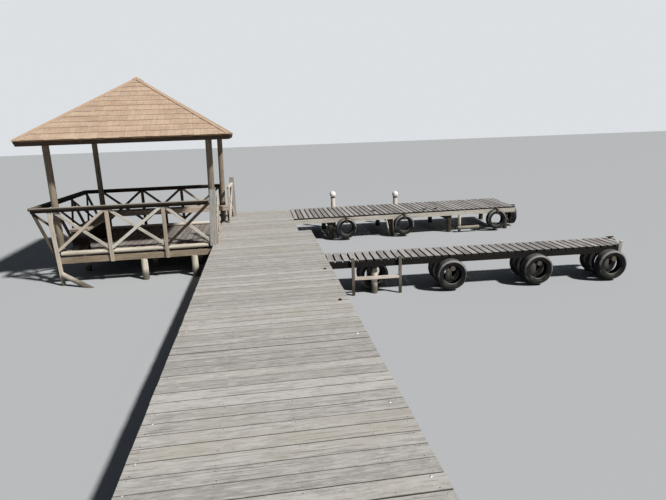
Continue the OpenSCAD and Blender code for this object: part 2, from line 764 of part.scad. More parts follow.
rail_left_x = shelter_x0 - rail_lean - rail_post_t / 2 / cos(lean_angle);
rail_front_y = shelter_y0 - rail_post_t / 2 - rail_cap_w / 2;
rail_back_y = shelter_y1 + rail_post_t / 2 + rail_cap_w / 2;
module front_handrail() {
  color("#c6bba6") slab(rail_left_x - rail_cap_w / 2, shelter_x1 - rail_post_w, rail_front_y, rail_front_y + rail_cap_w,
    rail_under, rail_h);
}
module back_handrail() {
  color("#8d8474") slab(rail_left_x - rail_cap_w / 2, shelter_x1, rail_back_y - rail_cap_w, rail_back_y,
    rail_under, rail_h);
}
module left_handrail() {
  color("#8d8474") slab(rail_left_x - rail_cap_w / 2, rail_left_x + rail_cap_w / 2,
    rail_front_y + rail_cap_w, rail_back_y - rail_cap_w, rail_under, rail_h);
}

bench_x0 = post_x0 + post_d / 2 + seat_gap;
bench_x1 = post_x1 - post_d / 2 - seat_gap;
bench_end = wing_x - seat_gap;
bench_gap = 20;
bench_leg = 55;
bench_rail = 75;
// The back bench runs on in front of the roof post, as far as the railing beyond it
module bench_seats() {
  color("#8f8577") {
    slab(bench_x0, bench_x1, bench_front_y, bench_back_y, seat_h - seat_t, seat_h);
    slab(bench_x1 - past, bench_end, bench_front_y, post_y1 - post_d / 2 - seat_gap, seat_h - seat_t, seat_h);
    slab(bench_x0, bench_x0 + seat_w, left_bench_y, bench_front_y - bench_gap, seat_h - seat_t, seat_h);
  }
}
module bench_legs() {
  color("#7d7466") {
    for (x = [bench_x0 + bench_gap, (bench_x0 + bench_x1) / 2])
      slab(x, x + bench_leg, bench_front_y + bench_gap, bench_back_y - bench_gap, floor_top, seat_h - seat_t);
    for (x = [bench_end - bench_leg, shelter_x1 + bench_gap])
      slab(x, x + bench_leg, bench_front_y + bench_gap, bench_front_y + bench_gap + bench_leg, 0, seat_h - seat_t);
    slab(shelter_x1 + bench_gap, bench_end, bench_front_y + bench_gap, bench_front_y + bench_gap + bench_leg,
      seat_h - seat_t - bench_rail, seat_h - seat_t);
    for (y = [left_bench_y + bench_gap, (left_bench_y + bench_front_y) / 2])
      slab(bench_x0 + bench_gap, bench_x0 + seat_w - bench_gap, y, y + bench_leg, floor_top, seat_h - seat_t);
  }
}

module roof_posts() {
  color("#9b7f60") for (y = [post_y0, post_y1]) {
    intersection() {
      translate([post_x1, y, 0]) rotate([0, post_lean, 0]) translate([0, 0, -past])
        cylinder(h = post_h + 2 * past, d = post_d, $fn = 48);
      slab(shelter_x0, walk_w, 0, sea_y, 0, post_h);
    }
    translate([post_x0, y, floor_top]) cylinder(h = post_h - floor_top, d = post_d, $fn = 48);
  }
}

roof_cx = (post_x0 + head_x1) / 2;
roof_cy = (post_y0 + post_y1) / 2;
// Run of every side of the roof in plan, all at one pitch, and half its length along the ridge
run = post_span_x / 2 + eave_side;
ridge_half = ridge_len / 2;
half_y = run + ridge_half;
slope = roof_rise / run;
plate_top = post_h + plate_w;
// Underside of the roof boards at the eaves, set by the rafters seated on the side plates
seat_depth = rafter_h * 0.8;
eave_z = plate_top + seat_depth - eave_side * slope;
// The front and back plates are deeper, because their eaves reach further out
eave_end = half_y - post_span_y / 2;
end_plate_top = eave_z + eave_end * slope - seat_depth;

module wall_plates() {
  color("#7a6248") for (s = [-1, 1]) {
    slab(roof_cx + s * post_span_x / 2 - plate_w / 2, roof_cx + s * post_span_x / 2 + plate_w / 2,
      post_y0 - plate_w / 2, post_y1 + plate_w / 2, post_h, plate_top);
    slab(post_x0 + plate_w / 2 + mitre_gap, head_x1 - plate_w / 2 - mitre_gap,
      roof_cy + s * post_span_y / 2 - plate_w / 2, roof_cy + s * post_span_y / 2 + plate_w / 2, post_h, end_plate_top);
  }
}

// Sides of the roof: 0 front, 1 right, 2 back, 3 left. Each is drawn with its top edge at the origin and its
// eave at y = -run, and placed at its end of the ridge on the turned roof.
module on_side(side) {
  translate([roof_cx, roof_cy, eave_z]) rotate(90 * side + roof_turn)
    translate([0, side % 2 == 0 ? -ridge_half : 0, 0]) children();
}
function eave_half(side) = side % 2 == 0 ? run : half_y;
function top_half(side) = side % 2 == 0 ? 0 : ridge_half;

// Plan of one side of the roof from eaves to ridge, drawn in by a gap at each hip
module roof_plan(side, gap = 0) {
  eave = eave_half(side);
  top = top_half(side);
  polygon([[-eave + gap, -run - past], [-eave + gap, -run], [-top, -gap], [top, -gap], [eave - gap, -run],
    [eave - gap, -run - past]]);
}

// A prism along one side of the roof, from its outline across the eaves, cut to the side's plan
module roof_prism(side, outline, gap = 0) {
  eave = eave_half(side);
  intersection() {
    translate([-eave, 0, 0]) rotate([90, 0, 90]) linear_extrude(2 * eave) polygon(outline);
    translate([0, 0, -roof_rise]) linear_extrude(3 * roof_rise) roof_plan(side, gap);
  }
}

// One side's layer between two heights above the underside of the roof boards
module roof_layer(side, low, high) {
  roof_prism(side, [[-run, low], [0, roof_rise + low], [0, roof_rise + high], [-run, high]]);
}

// Boards and stepped courses of shingles on one side of the roof
module roof_face(side) {
  steps = [for (i = [0 : course_n - 1], k = [0, 1]) [
    -run + (i + k) * run / course_n,
    (i + k) * roof_rise / course_n + roof_board_t + (k == 0 ? shingle_t : shingle_t * 0.25)
  ]];
  color("#cdaa87") on_side(side) roof_prism(side, concat([[0, roof_rise], [-run, 0]], steps));
}

module fascia() {
  inset = fascia_h * 0.35;
  color("#5d4030") for (side = [0 : 3]) on_side(side) roof_prism(side, [
    [-run, 0], [-run + inset, -fascia_h], [-run + inset + fascia_t, -fascia_h], [-run + fascia_t, fascia_t * slope]
  ], mitre_gap);
}

// Plan of strips of one width along a side's two hips and its part of the ridge
module hip_plan(side, w) {
  top = top_half(side);
  for (s = [-1, 1]) translate([s * top, 0]) rotate(-45 * s) translate([s < 0 ? -4 * run : 0, -w / 2]) square([4 * run, w]);
  square([2 * top + w, w], center = true);
}

module hip_boards() {
  low = roof_board_t + shingle_t;
  color("#b98f6b") for (side = [0 : 3]) on_side(side) intersection() {
    roof_layer(side, low, low + hip_cap_t);
    translate([0, 0, -roof_rise]) linear_extrude(3 * roof_rise) hip_plan(side, 2 * hip_cap_w);
  }
}

module ridge_cap() {
  low = roof_board_t + shingle_t + hip_cap_t;
  cap = 1.5 * hip_cap_w;
  color("#a98565") for (side = [0 : 3]) on_side(side) intersection() {
    roof_layer(side, low, low + hip_cap_t);
    translate([0, 0, -roof_rise]) linear_extrude(3 * roof_rise)
      square([2 * (top_half(side) + cap), 2 * cap], center = true);
  }
}

// Rafters of one side in plan: along its hips and ridge, parted by thin joints, and three between them
module rafter_plan(side) {
  difference() {
    hip_plan(side, rafter_w);
    for (s = [-1, 1]) translate([s * top_half(side), 0]) square([mitre_gap, 4 * run], center = true);
  }
  difference() {
    for (i = [-1 : 1]) translate([i * eave_half(side) / 2, 0]) square([rafter_w, 4 * run], center = true);
    hip_plan(side, rafter_w + 2 * mitre_gap);
  }
}

// Space of the wall plates, from below up to their tops
module plate_space() {
  for (s = [-1, 1]) {
    translate([roof_cx + s * post_span_x / 2, roof_cy, plate_top / 2])
      cube([plate_w, post_span_y + plate_w, plate_top], center = true);
    translate([roof_cx, roof_cy + s * post_span_y / 2, end_plate_top / 2])
      cube([post_span_x - plate_w - 2 * mitre_gap, plate_w, end_plate_top], center = true);
  }
}

// Rafters notched over the plates, their tails running out to the fascia
module rafters() {
  tail = fascia_h * 0.35 + fascia_t + mitre_gap;
  color("#8a6d4f") difference() {
    for (side = [0 : 3]) on_side(side) intersection() {
      roof_layer(side, -rafter_h, 0);
      translate([0, 0, -roof_rise]) linear_extrude(3 * roof_rise) rafter_plan(side);
    }
    plate_space();
    translate([roof_cx, roof_cy, 0]) rotate(roof_turn) linear_extrude(plate_top) difference() {
      square([4 * run, 4 * half_y], center = true);
      square([2 * (run - tail), 2 * (half_y - tail)], center = true);
    }
  }
}

end_beam();
walkway_deck();
walkway_joists();
walkway_head_beams();
walkway_piles();
near_pier_deck();
near_pier_beams();
near_pier_blocks();
near_pier_logs();
near_pier_piles();
near_tyres();
ladder_posts();
ladder_step();
end_stay();
far_pier_deck();
far_pier_beams();
far_pier_head_beams();
far_pier_piles();
pale_stakes();
loose_logs();
far_tyres();
tyre_straps();
cleats();
mooring_posts();
mooring_collars();
mooring_balls();
shelter_floor();
shelter_beams();
shelter_piles();
floor_logs();
front_railing();
back_railing();
left_railing();
side_railing();
wing_railing();
front_handrail();
back_handrail();
left_handrail();
bench_seats();
bench_legs();
roof_posts();
wall_plates();
rafters();
roof_face(0);  // roof_front
roof_face(2);  // roof_back
roof_face(3);  // roof_left
roof_face(1);  // roof_right
fascia();
hip_boards();
ridge_cap();
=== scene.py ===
# %% [markdown]
# # A wooden jetty with a shelter and two berthing piers
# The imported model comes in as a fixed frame, and this script dresses it. Boards, shingles and nails are
# left to this script, because they repeat by the hundred, so Geometry Nodes lay them along lines and cells
# that a few numbers give. Everything is in metres: X runs across the walkway, Y out to sea, Z up, and the
# walkway's top is at Z = 0.

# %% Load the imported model
import math
import bpy
import bmesh
from mathutils import Matrix, Vector


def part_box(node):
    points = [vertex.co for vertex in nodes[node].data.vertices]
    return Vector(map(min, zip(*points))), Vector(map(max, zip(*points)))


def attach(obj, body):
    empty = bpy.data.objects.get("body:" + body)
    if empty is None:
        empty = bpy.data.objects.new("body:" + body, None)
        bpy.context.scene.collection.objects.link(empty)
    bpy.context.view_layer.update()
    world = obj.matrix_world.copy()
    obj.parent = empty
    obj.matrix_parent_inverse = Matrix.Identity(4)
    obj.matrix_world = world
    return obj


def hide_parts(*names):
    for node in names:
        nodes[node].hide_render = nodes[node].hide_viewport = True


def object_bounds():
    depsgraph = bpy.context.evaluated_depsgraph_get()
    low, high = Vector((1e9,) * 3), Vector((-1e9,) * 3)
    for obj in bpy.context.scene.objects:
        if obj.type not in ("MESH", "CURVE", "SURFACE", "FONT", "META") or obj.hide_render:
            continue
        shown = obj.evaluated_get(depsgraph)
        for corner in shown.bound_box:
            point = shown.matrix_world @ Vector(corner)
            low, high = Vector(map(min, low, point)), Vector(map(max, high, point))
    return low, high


def moved(x, y, z=0.0):
    return Matrix.Translation((x, y, z))


def turned(angle, axis):
    return Matrix.Rotation(angle, 4, axis)


def add_object(name, data):
    made = bpy.data.objects.new(name, data)
    bpy.context.scene.collection.objects.link(made)
    return made


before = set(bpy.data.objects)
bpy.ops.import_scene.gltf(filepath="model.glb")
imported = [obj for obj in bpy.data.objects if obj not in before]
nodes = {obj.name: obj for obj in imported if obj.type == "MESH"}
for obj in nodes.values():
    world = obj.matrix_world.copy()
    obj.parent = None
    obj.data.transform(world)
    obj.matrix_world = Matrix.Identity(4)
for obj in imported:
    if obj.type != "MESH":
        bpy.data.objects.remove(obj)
cad_bounds = [[float(v) for v in corner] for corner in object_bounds()]
print(len(nodes), "nodes, box", cad_bounds)

# %% [markdown]
# ## Camera
# The camera is held high over the walkway and looks out to sea, turned a little to the right and tipped
# down. Its height, its turn and its lens come from the vanishing point of the walkway's edges and from the
# waterline, so that the model's lines fall where they do in the picture.

# %% Set up the camera
eye = (0, -0.27, 2.272)
turn, tip, roll = (math.radians(angle) for angle in (-7.85, 76.62, -2))
lens = bpy.data.cameras.new("camera")
lens.sensor_width = 36
lens.lens = 27.03
camera = add_object("camera", lens)
camera.matrix_world = moved(*eye) @ turned(turn, "Z") @ turned(tip, "X") @ turned(roll, "Z")
bpy.context.scene.camera = camera
print("camera at", tuple(round(v, 2) for v in camera.location))

# %% [markdown]
# ## Maths for materials and node trees
# A node tree is easier to read as an expression than as a list of links. One small class wraps a socket, so
# that `a * 2 + b` adds its Math nodes by itself, and one method adds any other node from its type, its
# inputs and its settings. The same two serve the materials and the Geometry Nodes.

# %% Wrap sockets and node trees
class Wire:
    """A socket that can be used in arithmetic."""

    def __init__(self, graph, socket):
        self.graph = graph
        self.socket = socket

    def __add__(self, other): return self.graph.math("ADD", self, other)
    def __radd__(self, other): return self.graph.math("ADD", other, self)
    def __sub__(self, other): return self.graph.math("SUBTRACT", self, other)
    def __rsub__(self, other): return self.graph.math("SUBTRACT", other, self)
    def __mul__(self, other): return self.graph.math("MULTIPLY", self, other)


class Graph:
    """A node tree that is built from Python expressions."""

    def __init__(self, tree):
        self.tree = tree

    def add(self, kind, inputs=None, out=0, **settings):
        node = self.tree.nodes.new(kind)
        for name, value in settings.items():
            setattr(node, name, value)
        for name, value in (inputs or {}).items():
            if isinstance(value, Wire):
                self.link(value, node.inputs[name])
            else:
                node.inputs[name].default_value = value
        return Wire(self, node.outputs[out])

    def link(self, value, socket):
        self.tree.links.new(value.socket, socket)

    def math(self, operation, a, b=0.0):
        return self.add("ShaderNodeMath", {0: a, 1: b}, operation=operation)

    def vector(self, operation, a, b, out=0):
        return self.add("ShaderNodeVectorMath", {0: a, 1: b}, out, operation=operation)

    def scale(self, vector, factor):
        return self.add("ShaderNodeVectorMath", {0: vector, "Scale": factor}, operation="SCALE")

    def join(self, x, y, z):
        return self.add("ShaderNodeCombineXYZ", {0: x, 1: y, 2: z})

    def part(self, vector, letter):
        return self.add("ShaderNodeSeparateXYZ", {0: vector}, letter)

    def read(self, name, out="Fac"):
        """An attribute of the mesh, in a material."""
        return self.add("ShaderNodeAttribute", out=out, attribute_name=name)

    def coordinates(self):
        return self.add("ShaderNodeTexCoord", out="Object")

    def upward(self):
        """How much a face looks up."""
        return self.part(self.add("ShaderNodeNewGeometry", out="Normal"), "Z")

    def field(self, name, kind="FLOAT_VECTOR"):
        """An attribute of the mesh, in a Geometry Nodes tree."""
        return self.add("GeometryNodeInputNamedAttribute", {"Name": name}, data_type=kind)

    def smooth(self, value, low, high):
        return self.add("ShaderNodeMapRange", {"Value": value, "From Min": low, "From Max": high},
            interpolation_type="SMOOTHSTEP")

    def mix(self, factor, a, b):
        """Colours are wires or three numbers from 0 to 255."""
        a, b = [tint(*colour) if isinstance(colour, tuple) else colour for colour in (a, b)]
        return self.add("ShaderNodeMix", {0: factor, 6: a, 7: b}, 2, data_type="RGBA")

    def noise(self, place, scale, detail=4.0, roughness=0.55):
        return self.add("ShaderNodeTexNoise",
            {"Vector": place, "Scale": scale, "Detail": detail, "Roughness": roughness})


def tint(red, green, blue):
    """A colour from 0 to 255 as the linear colour that a shader takes."""
    shares = [v / 255 for v in (red, green, blue)]
    return tuple(v / 12.92 if v < 0.0404 else ((v + 0.055) / 1.055) ** 2.4 for v in shares) + (1,)


print("helpers ready")

# %% [markdown]
# ## Weathered timber
# Wood left out over water greys on its surface, keeps a streaky grain, opens in fine dark checks along the
# grain, and each board ages a little differently. So one recipe makes every timber here: a fine and a broad
# noise stretched along the grain, a mottle of small blotches, dark checks where another noise peaks, a tone
# for each board, and near the water a darker green foot. Pieces made by this script carry their grain as an
# attribute, because a railing brace leans, and an attribute that marks their sawn ends, which are darker.
# Nodes of the model read Object coordinates, with the grain along a named axis.

# %% Timber recipe
def material(name, rough, metal=0.0):
    """Weathered wood and dusty rubber shine less than a clean surface, so their gloss is low."""
    made = bpy.data.materials.new(name)
    made.use_nodes = True
    shader = made.node_tree.nodes["Principled BSDF"]
    for socket, value in (("Roughness", rough), ("Metallic", metal), ("Specular IOR Level", 0.2)):
        shader.inputs[socket].default_value = value
    return made, Graph(made.node_tree), shader


def coat(graph, shader, colour, strength, depth, height):
    """Gives a shader its colour and its relief."""
    graph.link(colour, shader.inputs["Base Color"])
    bump = graph.add("ShaderNodeBump", {"Strength": strength, "Distance": depth, "Height": height},
        "Normal")
    graph.link(bump, shader.inputs["Normal"])


def grain_place(graph, axis):
    """Where along and across the grain a point is, the tone of its board, and the axis of the grain."""
    if axis == "attribute":
        tone = graph.read("tone")
        shift = graph.join(tone * 71, tone * 43, tone * 17)
        return graph.vector("ADD", graph.read("grain", "Vector"), shift), tone, "X"
    place = graph.coordinates()
    return place, graph.noise(place, 0.9, 1.0), axis


def grained(graph, place, axis, along, *noise):
    """Noise that repeats rarely along the grain, by the share along, and often across it."""
    stretch = tuple(along if axis == letter else 1.0 for letter in "XYZ")
    return graph.noise(graph.vector("MULTIPLY", place, stretch), *noise)


def timber(name, pale, mid, dark, axis="attribute", edge=None, side=None, warm=None, foot=False, spread=0.16,
        relief=0.5, mottle=0.25):
    """edge is half the width of boards with dark arrises; side is a darker colour, painted shade, for faces
    that don't look up.
    """
    sawn, rough = axis == "attribute", 0.86
    made, graph, shader = material(name, rough)
    place, tone, axis = grain_place(graph, axis)
    fibre = grained(graph, place, axis, 0.045, 130, 4.0, 0.6)
    streak = grained(graph, place, axis, 0.09, 34.0, 4.0, 0.65)
    patch = grained(graph, place, axis, 0.4, 5.5, 4.0, 0.6)
    blotch = grained(graph, place, axis, 0.35, 25.0, 6.0, 0.75)
    split = graph.smooth(grained(graph, place, axis, 0.02, 60.0, 2.0), 0.6, 0.7)
    age = fibre * 0.25 + streak * 0.3 + patch * (0.45 - mottle) + blotch * mottle + (tone - 0.5) * spread
    age = graph.smooth(age, 0.39, 0.61)
    colour = graph.mix(age, mid, pale)
    if warm:
        hue = graph.math("FRACT", tone * 17.3) * 0.3 + patch * 0.7
        colour = graph.mix(graph.smooth(hue, 0.45, 0.75) * 0.6, colour, warm)
    grime = graph.smooth(streak * 0.4 + patch * 0.3 + blotch * 0.3, 0.52, 0.66)
    colour = graph.mix(grime * 0.45, colour, dark)
    colour = graph.mix(split * 0.5, colour, dark)
    if edge:
        off = graph.math("ABSOLUTE", graph.part(graph.read("grain", "Vector"), "Y"))
        darker_edge = graph.smooth(off + (streak - 0.5) * 0.012, edge - 0.008, edge)
        colour = graph.mix(darker_edge * (0.3 + graph.smooth(patch, 0.4, 0.62) * 0.55), colour, dark)
    # Painted shade: faces that don't look up take the darker side colour; on the boards it stands for dirt as
    # well.
    if side:
        upward = graph.upward()
        colour = graph.mix(1 - graph.smooth(upward, 0.4, 0.8), colour, graph.mix(age * 0.6, side, dark))
    elif sawn:
        colour = graph.mix(graph.read("end") * (0.9 - streak * 0.3), colour, dark)
    if foot:
        height = graph.part(graph.coordinates(), "Z")
        wet = 1 - graph.smooth(height + patch * 0.16, -0.48, -0.28)
        colour = graph.mix(wet * 0.85, colour, (62, 60, 44))
        graph.link(rough - wet * 0.4, shader.inputs["Roughness"])
    coat(graph, shader, colour, relief, 0.003, fibre * 0.5 + streak * 0.3 + blotch * 0.2 - split * 0.8)
    return made


# The boards' side colours are painted shade on their sides and ends, with some dirt.
walkway_wood = timber("walkway_wood", (200, 198, 195), (154, 152, 149), (86, 84, 80), edge=0.081,
    side=(74, 70, 64), warm=(176, 172, 160), spread=0.07, mottle=0.4)
pier_wood = timber("pier_wood", (190, 188, 187), (133, 129, 127), (55, 52, 50), edge=0.055,
    side=(30, 27, 25), warm=(160, 150, 144), spread=0.13)
floor_wood = timber("floor_wood", (166, 162, 158), (118, 113, 109), (54, 50, 47), edge=0.068,
    side=(44, 40, 37), warm=(150, 140, 131), spread=0.14)
print("timber materials:", walkway_wood.name, pier_wood.name, floor_wood.name)

# %% [markdown]
# ## Boards and rails from lines
# A board, a slat, a post and a brace are all one straight piece of timber with a rectangular section and
# worn arrises. So each is drawn as a single edge, its middle line, with the direction that its wide face
# looks in, and one Geometry Nodes tree sweeps a rounded rectangle along all the edges at once. It gives each
# piece a tone, shifts its ends and its height a little, as work by hand does, stores where each point lies
# along and across the grain, and marks the faces that look along the grain as sawn ends.

# %% Tree that sweeps timber along edges
def group(name, floats, whole="Seed"):
    """A new Geometry Nodes tree with named inputs, wrapped, with its input wires by name."""
    tree = bpy.data.node_groups.new(name, "GeometryNodeTree")
    inputs = [("Geometry", "Geometry")] + [(label, "Float") for label in floats.split()]
    inputs += [(label, "Int") for label in whole.split()] + [("Material", "Material")]
    for label, kind in inputs:
        tree.interface.new_socket(label, in_out="INPUT", socket_type="NodeSocket" + kind)
    tree.interface.new_socket("Geometry", in_out="OUTPUT", socket_type="NodeSocketGeometry")
    source = tree.nodes.new("NodeGroupInput")
    graph = Graph(tree)
    return graph, {socket.name: Wire(graph, socket) for socket in source.outputs if socket.name}


def close_group(graph, geometry, paint, flat=False):
    """Ends a tree in Realize Instances and Set Material."""
    if flat:
        geometry = graph.add("GeometryNodeSetShadeSmooth", {"Geometry": geometry, "Shade Smooth": False})
    real = graph.add("GeometryNodeRealizeInstances", {0: geometry})
    painted = graph.add("GeometryNodeSetMaterial", {"Geometry": real, "Material": paint})
    graph.link(painted, graph.tree.nodes.new("NodeGroupOutput").inputs[0])
    return graph.tree


def store(graph, geometry, name, value, kind="FLOAT", domain="POINT"):
    return graph.add("GeometryNodeStoreNamedAttribute", {"Geometry": geometry, "Name": name, "Value": value},
        data_type=kind, domain=domain)


def random_by(graph, low, high, seed, domain=None):
    """A random number for each point, or one for each curve or face."""
    value = graph.add("FunctionNodeRandomValue",
        {2: low, 3: high, "ID": graph.add("GeometryNodeInputIndex"), "Seed": seed}, 1, data_type="FLOAT")
    if domain is None:
        return value
    return graph.add("GeometryNodeFieldOnDomain", {0: value}, domain=domain, data_type="FLOAT")


def sweep_tree():
    graph, given = group("timber_along_edges", "Width Thickness Rounding Trim Lift")
    lines = graph.add("GeometryNodeMeshToCurve", {0: given["Geometry"]})
    facing = graph.field("facing")
    lines = graph.add("GeometryNodeSetCurveNormal", {"Curve": lines, "Normal": facing}, mode="FREE")
    lines = store(graph, lines, "tone", random_by(graph, 0.0, 1.0, given["Seed"], "CURVE"))
    rise = given["Lift"] * random_by(graph, -1.0, 0.0, given["Seed"] + 5, "CURVE")
    share = graph.add("GeometryNodeSplineParameter", out="Factor")
    inward = (1 - share * 2) * given["Trim"] * random_by(graph, 0.0, 1.0, given["Seed"] + 9)
    tangent = graph.add("GeometryNodeInputTangent")
    offset = graph.vector("ADD", graph.scale(tangent, inward), graph.scale(facing, rise))
    lines = graph.add("GeometryNodeSetPosition", {"Geometry": lines, "Offset": offset})
    lines = store(graph, lines, "along", graph.add("GeometryNodeSplineParameter", out="Length"))
    lines = store(graph, lines, "run", tangent, "FLOAT_VECTOR")
    section = graph.add("GeometryNodeCurvePrimitiveQuadrilateral",
        {"Width": given["Thickness"], "Height": given["Width"]})
    section = graph.add("GeometryNodeFilletCurve",
        {"Curve": section, "Radius": given["Rounding"], "Count": 2, "Limit Radius": True}, mode="POLY")
    section = store(graph, section, "across", graph.add("GeometryNodeInputPosition"), "FLOAT_VECTOR")
    solid = graph.add("GeometryNodeCurveToMesh", {"Curve": lines, "Profile Curve": section, "Fill Caps": True})
    across = graph.field("across")
    grain = graph.join(graph.field("along", "FLOAT"), graph.part(across, "Y"), graph.part(across, "X"))
    solid = store(graph, solid, "grain", grain, "FLOAT_VECTOR")
    ahead = graph.vector("DOT_PRODUCT", graph.field("run"), graph.add("GeometryNodeInputNormal"), "Value")
    sawn = graph.math("GREATER_THAN", graph.math("ABSOLUTE", ahead), 0.7)
    return close_group(graph, store(graph, solid, "end", sawn, domain="FACE"), given["Material"], flat=True)


sweep = sweep_tree()
print("tree", sweep.name, len(sweep.nodes), "nodes")

# %% [markdown]
# A tree works on an object through a modifier. The helper below gives the modifier its numbers by socket
# identifier, takes the evaluated result as a plain mesh, and removes the start object, so that each finished
# piece is only a mesh at the origin.

# %% Run a tree and finish a piece
def grow(tree, start, **values):
    """The mesh that a tree makes from a start mesh."""
    holder = add_object("start", start)
    modifier = holder.modifiers.new("grow", "NODES")
    modifier.node_group = tree
    for item in tree.interface.items_tree:
        if item.in_out == "INPUT" and item.name.lower() in values:
            modifier[item.identifier] = values[item.name.lower()]
    bpy.context.view_layer.update()
    mesh = bpy.data.meshes.new_from_object(holder.evaluated_get(bpy.context.evaluated_depsgraph_get()))
    bpy.data.objects.remove(holder)
    return mesh


def new_mesh(name, points, edges=(), faces=()):
    mesh = bpy.data.meshes.new(name)
    mesh.from_pydata(points, edges, faces)
    return mesh


def mark(mesh, name, values):
    """Stores one or three numbers for each point."""
    kind, key = ("FLOAT", "value") if len(values) == len(mesh.vertices) else ("FLOAT_VECTOR", "vector")
    mesh.attributes.new(name, kind, "POINT").data.foreach_set(key, values)


def edge_mesh(lines):
    """Lines are (start, end, direction of the wide face)."""
    mesh = new_mesh("lines", [Vector(point) for line in lines for point in line[:2]],
        [(2 * i, 2 * i + 1) for i in range(len(lines))])
    mark(mesh, "facing", [v for line in lines for v in (*Vector(line[2]).normalized(),) * 2])
    return mesh


def saw(lines, width, thickness, paint, seed, rounding=0.004, trim=0.0, lift=0.0):
    return grow(sweep, edge_mesh(lines), width=width, thickness=thickness, rounding=rounding, trim=trim,
        lift=lift, seed=seed, material=paint)


def cut(mesh, point, normal):
    """Cuts off what lies beyond a plane and closes the cut."""
    work = bmesh.new()
    work.from_mesh(mesh)
    made = bmesh.ops.bisect_plane(work, geom=work.verts[:] + work.edges[:] + work.faces[:], dist=1e-6,
        plane_co=point, plane_no=normal, clear_outer=True)["geom_cut"]
    rim = [item for item in made if isinstance(item, bmesh.types.BMEdge) and item.is_boundary]
    bmesh.ops.holes_fill(work, edges=rim, sides=0)
    work.to_mesh(mesh)
    work.free()


def piece(name, mesh, slot, *replaced):
    """A finished piece at the origin, riding on the body, standing for its nodes."""
    made = add_object(name, mesh)
    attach(made, "root")
    if replaced:
        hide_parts(*replaced)
    mesh.calc_loop_triangles()
    print(name, len(mesh.loop_triangles), "triangles")


def joined(meshes):
    """Several meshes as one, with their attributes and materials."""
    parts = [add_object("part", mesh) for mesh in meshes]
    with bpy.context.temp_override(active_object=parts[0], object=parts[0], selected_editable_objects=parts,
            selected_objects=parts):
        bpy.ops.object.join()
    mesh = parts[0].data
    bpy.data.objects.remove(parts[0])
    return mesh


up = (0, 0, 1)
print("ready to saw")

# %% [markdown]
# ## The walkway's boards
# The walkway is built in six bays, and each bay is planked with fifteen boards laid side by side with a joint
# of a few millimetres. Its last 3.5 m are narrower on the right, where the far pier joins. The bays' length
# and the boards' come from the node that the boards stand for.

# %% Lay the walkway's boards
bays, boards_in_bay, bay_gap, joint = 6, 15, 0.008, 0.004
low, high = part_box("walkway_deck")
bay = (high.y - low.y) / bays
pitch = (bay - bay_gap) / boards_in_bay
deck_t = high.z - low.z
narrow_x, narrow_from = 0.8, high.y - 3.5
rows = [low.y + i * bay + bay_gap + (k + 0.5) * pitch for i in range(bays) for k in range(boards_in_bay)]
ends = [(narrow_x if y > narrow_from else high.x, y) for y in rows]
boards = [((low.x, y, -deck_t / 2), (right, y, -deck_t / 2), up) for right, y in ends]
piece("walkway_boards", saw(boards, pitch - joint, deck_t, walkway_wood, 3, trim=0.006, lift=0.002),
    "walkway_boards", "walkway_deck")
print(len(rows), "boards at", round(pitch, 4))

# %% [markdown]
# ## The piers' boards
# Both piers have narrower boards with a wide open joint, through which the dark beams show. The near pier
# stands a little out of square, so its boards are laid in a frame of its own and sawn off along the walkway.
# Both piers end askew, and their last boards are sawn off along the skew end.

# %% Lay the piers' boards
near_frame = moved(1.1, 8.305) @ turned(math.radians(-2.5), "Z")
near_len, near_w, near_skew = 5.5, 0.66, 0.35
far_low, far_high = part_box("far_pier_deck")
far_x1, walkway_edge, spare = 7.15, 1.101, 0.06
open_pitch, open_board = 0.141, 0.11


def pier_lines(first, last, place, y0, y1):
    """Lines across a pier, as close to the open pitch as whole boards allow."""
    count = round((last - first) / open_pitch)
    step = (last - first) / count
    middles = [first + (i + 0.5) * step for i in range(count)]
    return [(place @ Vector((x, y0, -deck_t / 2)), place @ Vector((x, y1, -deck_t / 2)), up) for x in middles]


near_lines = pier_lines(-0.02, near_len + near_skew, near_frame, 0, near_w)
near_boards = saw(near_lines, open_board, deck_t, pier_wood, 11, trim=0.018, lift=0.003)
cut(near_boards, (walkway_edge, 0, 0), (-1, 0, 0))
cut(near_boards, near_frame @ Vector((near_len, 0, 0)),
    (near_frame.to_3x3() @ Vector((near_w, -near_skew, 0))).normalized())
far_lines = pier_lines(far_low.x, far_high.x + spare, Matrix.Identity(4), far_low.y, far_high.y)
far_boards = saw(far_lines, open_board, deck_t, pier_wood, 12, trim=0.012, lift=0.003)
cut(far_boards, (far_x1, far_low.y, 0), Vector((far_high.y - far_low.y, far_x1 - far_high.x, 0)).normalized())
piece("near_pier_boards", near_boards, "pier_boards", "near_pier_deck")
piece("far_pier_boards", far_boards, "pier_boards", "far_pier_deck")

# %% [markdown]
# ## The shelter's floor and benches
# The shelter's floor is planked away from the viewer, and its boards stop short of its front edge, where a
# log lies. Each bench has four slats, and the back one has an apron under its front edge. Two slats of the
# back bench run on in front of the roof post to the railing beyond it, as on the real one.

# %% Lay the floor and the benches
low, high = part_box("shelter_floor")
floor_t, floor_n, log_room = high.z - low.z, 22, 0.17
step = (high.x - low.x) / floor_n
floor_z = high.z - floor_t / 2
middles = [low.x + (i + 0.5) * step for i in range(floor_n)]
floor_lines = [((x, low.y + log_room, floor_z), (x, high.y, floor_z), up) for x in middles]
piece("floor_boards", saw(floor_lines, step - 0.006, floor_t, floor_wood, 21, trim=0.006, lift=0.002),
    "pier_boards", "shelter_floor")

